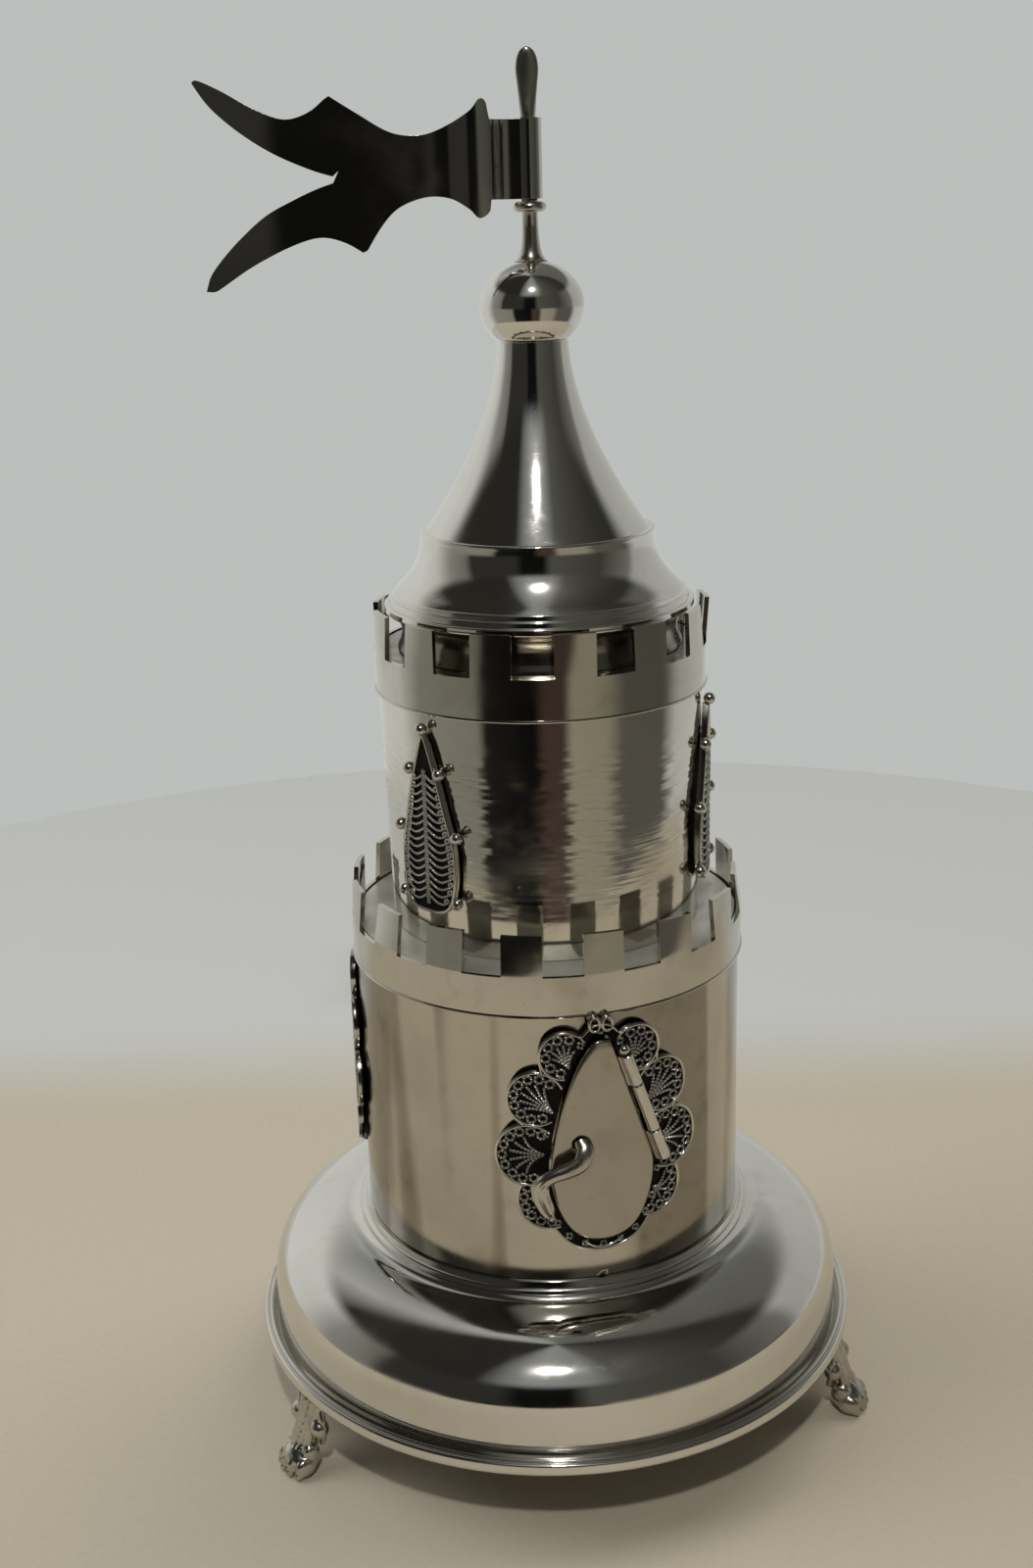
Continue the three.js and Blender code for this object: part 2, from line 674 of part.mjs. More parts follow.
function barrelCore(radius, low, high) {
  return solid(turned([[0, low], [radius, low], [radius, high], [0, high]], WIRE_STEPS)
    .applyMatrix4(hingeFrame));
}

const pinBore = barrelCore(BARREL_BORE, -2, barrelLength + 2);

// Surround of the door: the lobed plaque with the door's place cut out and the fixed knuckle
function doorSurround() {
  const place = teardrop(DOOR_HALF_WIDTH, DOOR_HEIGHT, doorFoot, DOOR_CLEARANCE);
  const cut = onWall(place, plaqueBack - 1, plaqueFace + 1);
  const fixed = knuckle(1 - KNUCKLE_SPLITS[1], 1 - KNUCKLE_SPLITS[0] + 0.08, -FIXED_STRAP_REACH, plaqueFace);
  return lobedPlaque().subtract(cut).add(fixed).subtract(pinBore);
}

// Side plaque: the same lobed outline round a sunk teardrop
function sidePlaque() {
  const well = teardrop(DOOR_HALF_WIDTH, DOOR_HEIGHT, doorFoot, 0);
  return lobedPlaque().subtract(onWall(well, plaqueFace - PLAQUE_RELIEF, plaqueFace + 1));
}

// Door: curved teardrop plate, straight beside the barrel, with the upper and lower knuckle
function doorPlate() {
  const flank = new THREE.BoxGeometry(DOOR_HALF_WIDTH, DOOR_HALF_WIDTH, 2 * DOOR_HEIGHT);
  flank.translate(BARREL_RADIUS + KNUCKLE_GAP - DOOR_HALF_WIDTH / 2, 0, barrelLength / 2);
  const plate = onWall(teardrop(DOOR_HALF_WIDTH, DOOR_HEIGHT, doorFoot), doorBack, doorFace)
    .subtract(solid(flank.applyMatrix4(hingeFrame)));
  const upper = knuckle(1 - KNUCKLE_SPLITS[0] + 0.08, 1, STRAP_REACH, doorFace);
  const lower = knuckle(0, 1 - KNUCKLE_SPLITS[1], STRAP_REACH, doorFace);
  return unite([plate, upper, lower]).subtract(pinBore);
}

function hingePin() {
  const head = ball(PIN_HEAD, 0, 0, barrelLength + SEAM + PIN_HEAD * 0.9).applyMatrix4(hingeFrame);
  return barrelCore(PIN_RADIUS, -SEAM, barrelLength + PIN_HEAD).add(solid(head));
}

// Scroll handle: rises from the door, bends over its left edge and ends in a small ball
function doorHandle() {
  const top = doorFace + HANDLE_STAND_OFF;
  const path = new THREE.CatmullRomCurve3([
    doorPoint(-0.42, 0.515, doorFace - 0.5),
    doorPoint(-0.43, 0.465, top - 0.5),
    doorPoint(-0.65, 0.4, top),
    doorPoint(-1.02, 0.37, top),
    doorPoint(-1.26, 0.305, top),
    doorPoint(-1.18, 0.23, top),
    doorPoint(-1.04, 0.18, top),
  ]);
  const rows = 14;
  const up = new THREE.Vector3(0, -1, 0);
  const sections = Array.from({ length: rows + 1 }, (_, index) => {
    const share = index / rows;
    const swell = 1 + 0.5 * Math.exp(-(((share - 0.78) / 0.16) ** 2)) - 0.25 * share ** 6;
    const along = path.getTangentAt(share);
    const side = new THREE.Vector3().crossVectors(along, up).normalize();
    const rise = new THREE.Vector3().crossVectors(side, along);
    return {
      middle: path.getPointAt(share),
      across: side.multiplyScalar(HANDLE_RADIUS * swell),
      along: rise.multiplyScalar(HANDLE_RADIUS),
    };
  });
  const end = path.getPointAt(1);
  const low = doorFoot;
  const under = solid(ring(doorBack, doorFace + SEAM, low, low + DOOR_HEIGHT, PLATE_STEPS));
  const scroll = solid(lofted(sections, WIRE_STEPS)).subtract(under);
  return scroll.add(solid(ball(0.95, end.x, end.y, end.z)));
}

// Teardrop ornament of the upper drum: raised rim, sunk ground and seven beads
function dropOrnament() {
  const foot = upperFoot + DROP_LIFT;
  const outline = (margin) => (
    teardrop(DROP_HALF_WIDTH, DROP_HEIGHT, foot, margin, SLIM_TEARDROP)
  );
  const plate = onWall(outline(0), dropBack, dropFace);
  const well = onWall(outline(-DROP_RIM), dropFace - DROP_RELIEF, dropFace + 1);
  const places = BEADS.flatMap(([aside, high]) => {
    const across = aside * DROP_HALF_WIDTH;
    const up = foot + high * DROP_HEIGHT;
    return aside === 0 ? [[0, up]] : [[across, up], [-across, up]];
  });
  const beads = places.map(([aside, high]) => {
    const centre = dropBack + BEAD_RADIUS + 0.1;
    const angle = aside / centre;
    const x = centre * Math.sin(angle);
    return solid(ball(BEAD_RADIUS, x, -centre * Math.cos(angle), high, 6, 3));
  });
  return unite([plate.subtract(well), ...beads]);
}

// Everything that belongs to the standing tower, the door and the flag
const tower = new THREE.Group();
tower.add(piece('base_rim', baseRim(), 0xb7b4ad));
tower.add(piece('base_dome', baseDome(), 0xb3b1ab));
const footNames = ['foot_left', 'foot_right', 'foot_back'];
footNames.forEach((name, index) => {
  const cast = piece(name, foot(), 0x9d9a90, 0.24);
  cast.rotation.z = radians(FOOT_ANGLES[index]);
  tower.add(cast);
});
tower.add(piece('lower_drum', lowerDrum(), 0xa8a598));
tower.add(piece(
  'lower_battlement',
  battlement(lowerBattlementRadius, lowerSeam, LOWER_MERLONS, LOWER_MERLON_TURN),
));
const lowerLedgeEdge = lowerBattlementRadius - BATTLEMENT_WALL - SEAM;
tower.add(piece('ledge_plate', ring(LEDGE_OPENING, lowerLedgeEdge, ledgeTop - LEDGE_SHEET, ledgeTop)));
tower.add(piece('upper_drum', upperDrum(), 0x9a978e));
tower.add(piece(
  'upper_battlement',
  battlement(upperBattlementRadius, upperSeam, UPPER_MERLONS, UPPER_MERLON_TURN),
));
const deckEdge = upperBattlementRadius - BATTLEMENT_WALL - SEAM;
tower.add(piece('upper_deck', turned([
  [0, deckTop - LEDGE_SHEET],
  [deckEdge, deckTop - LEDGE_SHEET],
  [deckEdge, deckTop],
  [0, deckTop],
])));
tower.add(piece('roof', roof(), 0xaeaca6));
tower.add(piece('ball_finial', ballFinial()));
const rod = piece('finial_rod', finialRod());
rod.rotation.z = radians(PADDLE_TURN);
tower.add(rod);
tower.add(piece('door_surround', doorSurround(), 0x6d6a63, 0.35));
tower.add(piece('hinge_pin', hingePin()));
[['side_plaque_left', -SIDE_PLAQUE_ANGLE], ['side_plaque_right', SIDE_PLAQUE_ANGLE]].forEach(
  ([name, angle]) => {
    const plaque = piece(name, sidePlaque(), 0x6d6a63, 0.35);
    plaque.rotation.z = radians(angle);
    tower.add(plaque);
  },
);
const dropNames = ['teardrop_left', 'teardrop_right', 'teardrop_back'];
dropNames.forEach((name, index) => {
  const ornament = piece(name, dropOrnament(), 0x6d6a63, 0.35);
  ornament.rotation.z = radians(DROP_ANGLES[index]);
  tower.add(ornament);
});

const door = new THREE.Group();
door.add(piece('door_plate', doorPlate(), 0xa5a194));
door.add(piece('door_handle', doorHandle(), 0xa8a59c));
tower.add(door);

const vane = piece('flag', flag(), 0xa3a196);
vane.rotation.z = radians(FLAG_TURN);
tower.add(vane);

// The foot at the back reaches past the rim, so the tower's axis stands forward of the origin
tower.position.y = -FOOT_OVERHANG / 2;
tower.name = 'spice_tower';

const model = new THREE.Group();
model.add(tower);

export default model;
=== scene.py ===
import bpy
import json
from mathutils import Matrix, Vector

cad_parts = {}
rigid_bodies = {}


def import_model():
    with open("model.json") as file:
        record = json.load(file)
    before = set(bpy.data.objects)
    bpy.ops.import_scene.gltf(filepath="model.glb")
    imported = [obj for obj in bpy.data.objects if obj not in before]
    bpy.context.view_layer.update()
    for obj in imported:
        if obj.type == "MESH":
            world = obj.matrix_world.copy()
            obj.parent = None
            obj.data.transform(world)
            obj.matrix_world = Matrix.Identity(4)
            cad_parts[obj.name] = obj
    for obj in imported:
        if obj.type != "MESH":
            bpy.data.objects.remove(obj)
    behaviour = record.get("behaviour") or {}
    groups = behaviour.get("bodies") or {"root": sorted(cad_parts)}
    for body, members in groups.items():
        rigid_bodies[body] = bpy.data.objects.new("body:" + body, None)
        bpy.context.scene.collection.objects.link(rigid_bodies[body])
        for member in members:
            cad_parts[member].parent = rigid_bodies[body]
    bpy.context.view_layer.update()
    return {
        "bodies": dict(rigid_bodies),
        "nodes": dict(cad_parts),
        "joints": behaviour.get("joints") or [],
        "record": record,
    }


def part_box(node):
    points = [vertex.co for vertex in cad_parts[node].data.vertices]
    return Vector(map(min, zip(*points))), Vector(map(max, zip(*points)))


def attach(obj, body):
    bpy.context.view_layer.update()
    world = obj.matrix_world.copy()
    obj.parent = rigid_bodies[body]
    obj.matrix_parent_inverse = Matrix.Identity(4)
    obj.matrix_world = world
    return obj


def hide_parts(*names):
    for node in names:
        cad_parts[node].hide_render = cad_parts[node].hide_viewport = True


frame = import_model()

import json
import logging
import math
import random
from bisect import bisect_left
from dataclasses import dataclass, field
from enum import Enum
from typing import Any, Callable, Sequence

import bmesh
import bpy
from mathutils import Matrix, Vector

log = logging.getLogger("spice_tower")

MM = 0.001
PHOTO_SIZE = (1054, 1600)

# Degrees from the frame's front to the camera's, and the length of the rod's flattened end.
FRAME_TURN = -13.7
PADDLE = 9.6

Point2 = tuple[float, float]
Profile = list[Point2]
Colour = tuple[float, float, float]
Socket = bpy.types.NodeSocket
Material = bpy.types.Material
Object = bpy.types.Object


# Small geometry

def node_box(node: str) -> tuple[Vector, Vector]:
    """Lowest and highest corner of a solid in millimetres, counted from the tower's axis."""
    low, high = (Vector(corner) / MM - Vector((0, AXIS_Y, 0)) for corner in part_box(node))
    return low, high


# Middle of the round base along Y in millimetres, which the tower's axis goes through.
AXIS_Y = sum(corner[1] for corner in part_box("base_rim")) / 2 / MM


@dataclass(frozen=True)
class Span:
    """Round solid's greatest radius with its foot and top, in millimetres."""

    radius: float
    foot: float
    top: float

    @classmethod
    def of(cls, node: str) -> "Span":
        """Measures a node that is round about the tower's axis."""
        low, high = node_box(node)
        return cls((high.x - low.x) / 2, low.z, high.z)

    @property
    def height(self) -> float:
        """Height from foot to top."""
        return self.top - self.foot


def lerp(start: float, end: float, share: float) -> float:
    """Value at a share of the way from start to end."""
    return start + (end - start) * share


def mix(first: Point2, second: Point2, share: float) -> Point2:
    """Point at a share of the way between two points."""
    return lerp(first[0], second[0], share), lerp(first[1], second[1], share)


def around(count: int) -> list[float]:
    """Even angles in radians that make one full turn."""
    return [math.tau * k / count for k in range(count)]


def ellipse(centre: Point2, across: float, high: float, count: int) -> Profile:
    """Even points round an ellipse."""
    return [(centre[0] + across * math.cos(a), centre[1] + high * math.sin(a)) for a in around(count)]


def bezier(start: Point2, control: Point2, end: Point2, steps: int) -> Profile:
    """Draws a curve that leans towards a control point.

    Args:
        start: First point.
        control: Point that draws the curve towards it.
        end: Last point.
        steps: Number of stretches.

    Returns:
        The points in order, with both ends.
    """
    return [
        tuple((1 - t) ** 2 * a + 2 * t * (1 - t) * b + t * t * c for a, b, c in zip(start, control, end))
        for t in (step / steps for step in range(steps + 1))
    ]


def arc(centre: Point2, radius: float, start: float, end: float, steps: int = 8) -> Profile:
    """Points along a circular arc.

    Args:
        centre: Middle of the circle.
        radius: Radius of the circle.
        start: First angle in degrees, counted from the first axis.
        end: Last angle in degrees.
        steps: Number of stretches.

    Returns:
        The points in order, with both ends.
    """
    angles = [math.radians(lerp(start, end, index / steps)) for index in range(steps + 1)]
    return [(centre[0] + radius * math.cos(a), centre[1] + radius * math.sin(a)) for a in angles]


def smooth(points: Sequence[Sequence[float]], steps: int, closed: bool = False) -> list[tuple]:
    """Catmull-Rom curve through points of any size.

    Args:
        points: Points that the curve passes through.
        steps: Stretches between each two points.
        closed: Whether the curve returns to its first point.

    Returns:
        Points along the curve; a closed one doesn't repeat its first point.
    """
    count = len(points)
    stretches = count if closed else count - 1
    out = []
    for index in range(stretches):
        if closed:
            p0, p1, p2, p3 = (points[(index + offset) % count] for offset in (-1, 0, 1, 2))
        else:
            p0, p1, p2, p3 = (points[min(max(index + k, 0), count - 1)] for k in (-1, 0, 1, 2))
        for step in range(steps):
            t = step / steps
            out.append(tuple(
                0.5 * (2 * b + (c - a) * t + (2 * a - 5 * b + 4 * c - d) * t * t
                       + (3 * b - a - 3 * c + d) * t ** 3)
                for a, b, c, d in zip(p0, p1, p2, p3)
            ))
    if not closed:
        out.append(tuple(points[-1]))
    return out


FULL_DROP = ((0, 1), (0.19, 0.985), (0.5, 0.87), (0.82, 0.63), (1, 0.31), (0.66, 0.07))
SLIM_DROP = ((0, 1), (0.1, 0.965), (0.35, 0.81), (0.65, 0.6), (0.95, 0.33), (0.75, 0.05))


def teardrop(
    half_width: float,
    height: float,
    foot: float,
    margin: float = 0,
    shares: Sequence[Point2] = FULL_DROP,
) -> Profile:
    """Teardrop outline on its round end, grown or shrunk evenly by the margin.

    Args:
        half_width: Greatest distance aside.
        height: Height from foot to tip.
        foot: Height of the lowest point.
        margin: Distance by which the outline grows.
        shares: Right side from the tip, as shares of half width and height.

    Returns:
        Outline points, anticlockwise from the tip.
    """
    left = [(-wide, high) for wide, high in shares[1:]]
    right = [(wide, high) for wide, high in reversed(shares[1:])]
    curve = smooth([shares[0], *left, (0, 0), *right], 10, closed=True)
    return [(x * (half_width + margin), foot - margin + y * (height + 2 * margin)) for x, y in curve]


def polar_point(radius: float, angle: float, height: float) -> Vector:
    """Point about the tower's axis, with the angle in radians from the front."""
    return Vector((radius * math.sin(angle), -radius * math.cos(angle), height))


@dataclass
class Wall:
    """Round wall that flat drawings are laid on, aside in millimetres and up in height."""

    radius: float
    turn: float = 0

    def at(self, aside: float, height: float, radius: float) -> Vector:
        """Place of a drawn point at a radius from the tower's axis."""
        return polar_point(radius, math.radians(self.turn) + aside / self.radius, height)


@dataclass
class Reach:
    """Outline seen from a middle point, as its distance in each direction."""

    middle: Point2
    outline: Profile

    def __post_init__(self) -> None:
        """Sorts the outline's points by direction."""
        moved = [(x - self.middle[0], y - self.middle[1]) for x, y in self.outline]
        self.polar = sorted((math.atan2(y, x) % math.tau, math.hypot(x, y)) for x, y in moved)

    def __call__(self, angle: float) -> float:
        """Distance from the middle to the outline in a direction in radians.

        Args:
            angle: Direction in radians.

        Returns:
            The distance.
        """
        angle %= math.tau
        index = bisect_left(self.polar, (angle,))
        a1, r1 = self.polar[index % len(self.polar)]
        a0, r0 = self.polar[index - 1]
        gap = (a1 - a0) % math.tau
        share = ((angle - a0) % math.tau) / gap if gap > 1e-9 else 0
        return lerp(r0, r1, share)

    def point(self, angle: float, margin: float = 0) -> Point2:
        """Outline point in a direction, moved outwards by a margin."""
        reach = self(angle) + margin
        return self.middle[0] + reach * math.cos(angle), self.middle[1] + reach * math.sin(angle)


# Shader maths

class Value:
    """Number that varies over a surface, with ordinary arithmetic."""

    def __init__(self, graph: "Graph", socket: Socket) -> None:
        """Wraps an output socket."""
        self.graph = graph
        self.socket = socket

    def _math(self, operation: str, *terms: Any) -> "Value":
        """Math node of an operation on terms, as a new value."""
        node = self.graph.node("ShaderNodeMath", {"operation": operation}, dict(enumerate(terms)))
        return Value(self.graph, node.outputs[0])

    def __add__(self, other: Any) -> "Value":
        """Sum."""
        return self._math("ADD", self, other)

    __radd__ = __add__

    def __sub__(self, other: Any) -> "Value":
        """Difference."""
        return self._math("SUBTRACT", self, other)

    def __rsub__(self, other: Any) -> "Value":
        """Difference from another value."""
        return self._math("SUBTRACT", other, self)

    def __mul__(self, other: Any) -> "Value":
        """Product."""
        return self._math("MULTIPLY", self, other)

    __rmul__ = __mul__

    def __truediv__(self, other: Any) -> "Value":
        """Quotient."""
        return self._math("DIVIDE", self, other)

    def __rtruediv__(self, other: Any) -> "Value":
        """Quotient of another value by this one."""
        return self._math("DIVIDE", other, self)

    def between(self, low: float, high: float) -> "Value":
        """Smooth step from 0 at low to 1 at high.

        Args:
            low: Value that gives 0.
            high: Value that gives 1.

        Returns:
            The step.
        """
        node = self.graph.node(
            "ShaderNodeMapRange",
            {"interpolation_type": "SMOOTHSTEP", "clamp": True},
            {"Value": self, "From Min": low, "From Max": high},
        )
        return Value(self.graph, node.outputs[0])


class Graph:
    """Node tree that is filled by Python expressions."""

    def __init__(self, tree: bpy.types.NodeTree) -> None:
        """Empties a node tree and starts on it."""
        self.tree = tree
        tree.nodes.clear()

    def node(self, kind: str, settings: dict[str, Any], sockets: dict[Any, Any]) -> bpy.types.Node:
        """Makes one node.

        Args:
            kind: The node's type.
            settings: The node's own settings; a ramp's stops are given as "stops".
            sockets: Values or links by input name or number.

        Returns:
            The node.
        """
        node = self.tree.nodes.new(kind)
        for name, setting in settings.items():
            if name == "stops":
                self._set_stops(node, setting)
            else:
                setattr(node, name, setting)
        for name, given in sockets.items():
            source = given.socket if isinstance(given, Value) else given
            if isinstance(source, Socket):
                self.tree.links.new(source, node.inputs[name])
            else:
                node.inputs[name].default_value = source
        return node

    @staticmethod
    def _set_stops(node: bpy.types.Node, stops: Sequence[tuple[float, Sequence[float]]]) -> None:
        """Gives a colour ramp its stops.

        Args:
            node: The ramp.
            stops: Places from 0 to 1 with their colours.
        """
        elements = node.color_ramp.elements
        while len(elements) > 1:
            elements.remove(elements[-1])
        for index, (place, colour) in enumerate(stops):
            element = elements[0] if index == 0 else elements.new(place)
            element.position = place
            element.color = (*colour, 1)

    def place(self) -> Socket:
        """Place on the piece, in metres in the frame."""
        return self.node("ShaderNodeTexCoord", {}, {}).outputs["Object"]

    def scaled(self, vector: Socket, x: float, y: float, z: float) -> Socket:
        """Vector with each part multiplied by its own factor."""
        node = self.node("ShaderNodeVectorMath", {"operation": "MULTIPLY"}, {0: vector, 1: (x, y, z)})
        return node.outputs[0]

    def part(self, vector: Socket, axis: str) -> Value:
        """X, Y or Z of a vector."""
        return Value(self, self.node("ShaderNodeSeparateXYZ", {}, {0: vector}).outputs[axis])

    def from_axis(self, vector: Socket) -> Value:
        """Distance from the tower's axis in millimetres.

        Args:
            vector: Place in metres in the frame.

        Returns:
            The distance.
        """
        moved = self.node("ShaderNodeVectorMath", {"operation": "ADD"}, {0: vector, 1: (0, -AXIS_Y * MM, 0)})
        flat = self.scaled(moved.outputs[0], 1 / MM, 1 / MM, 0)
        length = self.node("ShaderNodeVectorMath", {"operation": "LENGTH"}, {0: flat})
        return Value(self, length.outputs["Value"])

    def noise(self, vector: Socket, scale: float, detail: float = 2, rough: float = 0.5) -> Value:
        """Noise from 0 to 1; the scale is in grains per metre.

        Args:
            vector: Place that it varies over.
            scale: Grains per metre.
            detail: Number of finer layers.
            rough: Strength of the finer layers.

        Returns:
            The noise.
        """
        sockets = {"Vector": vector, "Scale": scale, "Detail": detail, "Roughness": rough}
        return Value(self, self.node("ShaderNodeTexNoise", {}, sockets).outputs[0])

    def blend(self, factor: Any, first: Any, second: Any) -> Socket:
        """Colour between two colours."""
        sockets = {"Factor": factor, 6: first, 7: second}
        return self.node("ShaderNodeMix", {"data_type": "RGBA"}, sockets).outputs[2]

    def bump(self, height: Value) -> Socket:
        """Normal of a surface with small heights in millimetres."""
        sockets = {"Strength": 1.0, "Distance": MM, "Height": height}
        return self.node("ShaderNodeBump", {}, sockets).outputs[0]

    def surface(self, sockets: dict[str, Any]) -> None:
        """Ends a material's graph in one shader."""
        shader = self.node("ShaderNodeBsdfPrincipled", {}, sockets)
        self.node("ShaderNodeOutputMaterial", {}, {"Surface": shader.outputs[0]})


def new_material(name: str) -> tuple[Material, Graph]:
    """Makes an empty material.

    Args:
        name: Name of the material.

    Returns:
        The material and its graph.
    """
    material = bpy.data.materials.new(name)
    material.use_nodes = True
    return material, Graph(material.node_tree)


class Working(Enum):
    """How a surface was worked, which sets its fine marks."""

    SPUN = "spun"
    CHATTERED = "chattered"
    PLANISHED = "planished"
    CAST = "cast"
    WIRE = "wire"


@dataclass(frozen=True)
class Silver:
    """Silver finish: polish, tarnish, the marks of the tool, and vertical dark stripes that are painted
    reflections.

    Depths are in millimetres, scales in marks per metre.
    """

    name: str
    working: Working
    colour: Colour = (0.83, 0.81, 0.765)
    tarnish: Colour = (0.60, 0.55, 0.46)
    tarnish_share: float = 0.35
    polish: float = 0.07
    smudge: float = 0.1
    line_depth: float = 0.0
    wave_depth: float = 0.05
    pit_depth: float = 0.004
    scratch: float = 0.05
    # Strength of the vertical dark stripes: painted reflections of dark things in front of the drum.
    streaks: float = 0.0
    metal: float = 1.0

    def material(self) -> Material:
        """Builds the finish as a material.

        Returns:
            The material.
        """
        material, graph = new_material(self.name)
        place = graph.place()
        cloud = graph.noise(place, 55, 3, 0.6).between(0.42, 0.72)
        stain = graph.noise(place, 260, 4, 0.65).between(0.5, 0.78)
        dull = cloud * 0.7 + stain * 0.5
        # Vertical dark stripes darken only the colour: painted reflections of dark things in front, added to
        # the tarnish blend.
        if self.streaks:
            painted_dark_reflections = graph.noise(graph.scaled(place, 1, 1, 0.05), 75, 2, 0.6).between(0.45, 0.53)
            dull = dull + painted_dark_reflections * self.streaks
        colour = graph.blend(dull * self.tarnish_share, (*self.colour, 1), (*self.tarnish, 1))
        rough = self.polish + self.smudge * cloud + stain * (self.smudge * 0.5)
        scratches = graph.noise(graph.scaled(place, 0.25, 0.25, 3.5), 1500, 2, 0.6).between(0.66, 0.74)
        rough = rough + scratches * self.scratch
        graph.surface({
            "Base Color": colour,
            "Metallic": self.metal,
            "Roughness": rough,
            "Normal": self._relief(graph, place),
        })
        return material

    def _relief(self, graph: Graph, place: Socket) -> Socket:
        """Small heights of the surface as a normal.

        Args:
            graph: Node tree of the material.
            place: Place on the piece.

        Returns:
            The normal that the shader takes.
        """
        height = graph.noise(place, 48, 1, 0.4) * self.wave_depth
        pits = graph.noise(place, 900, 2, 0.5).between(0.70, 0.78)
        height = height - pits * self.pit_depth
        if self.working in (Working.SPUN, Working.CHATTERED):
            turning = graph.noise(graph.scaled(place, 0.02, 0.02, 1), 1400, 3, 0.75)
            ripple = graph.noise(graph.scaled(place, 0.04, 0.04, 1), 480, 2, 0.6)
            patch = graph.noise(place, 60, 2, 0.6).between(0.4, 0.62) * 0.85 + 0.15
            height = height + (turning * 0.5 + ripple) * patch * self.line_depth
        if self.working is Working.CHATTERED:
            rise = graph.part(place, "Z")
            belt = rise.between(0.092, 0.104) * (1 - rise.between(0.116, 0.124))
            rings = graph.noise(graph.scaled(place, 0.03, 0.03, 1), 1500, 1, 0.4)
            height = height + rings * belt * graph.noise(place, 90, 1, 0.5).between(0.35, 0.6) * 0.016
        elif self.working is Working.CAST:
            height = height + graph.noise(place, 1300, 3, 0.6) * 0.012
        elif self.working is Working.PLANISHED:
            height = height + graph.noise(place, 210, 1, 0.5) * 0.01
        return graph.bump(height)


@dataclass(frozen=True)
class Oxidised:
    """Silver that is black in its depths and bright on its tops, by height over the wall."""

    name: str
    dark_radius: float
    bright_radius: float
    colour: Colour = (0.60, 0.58, 0.53)
    oxide: Colour = (0.012, 0.011, 0.010)
    polish: float = 0.2
    dull: float = 0.5

    def material(self) -> Material:
        """Builds the finish as a material.

        Returns:
            The material.
        """
        material, graph = new_material(self.name)
        place = graph.place()
        radius = graph.from_axis(place)
        grime = graph.noise(place, 900, 3, 0.6)
        top = (radius + grime * 0.12 - 0.06).between(self.dark_radius, self.bright_radius)
        wear = graph.noise(place, 200, 2, 0.5).between(0.3, 0.65) * 0.35 + 0.65
        bright = top * wear
        graph.surface({
            "Base Color": graph.blend(bright, (*self.oxide, 1), (*self.colour, 1)),
            "Metallic": bright * 0.5 + 0.5,
            "Roughness": self.dull - bright * (self.dull - self.polish),
            "Specular IOR Level": 0.12,
            "Normal": graph.bump(grime * 0.02),
        })
        return material


# Mesh building

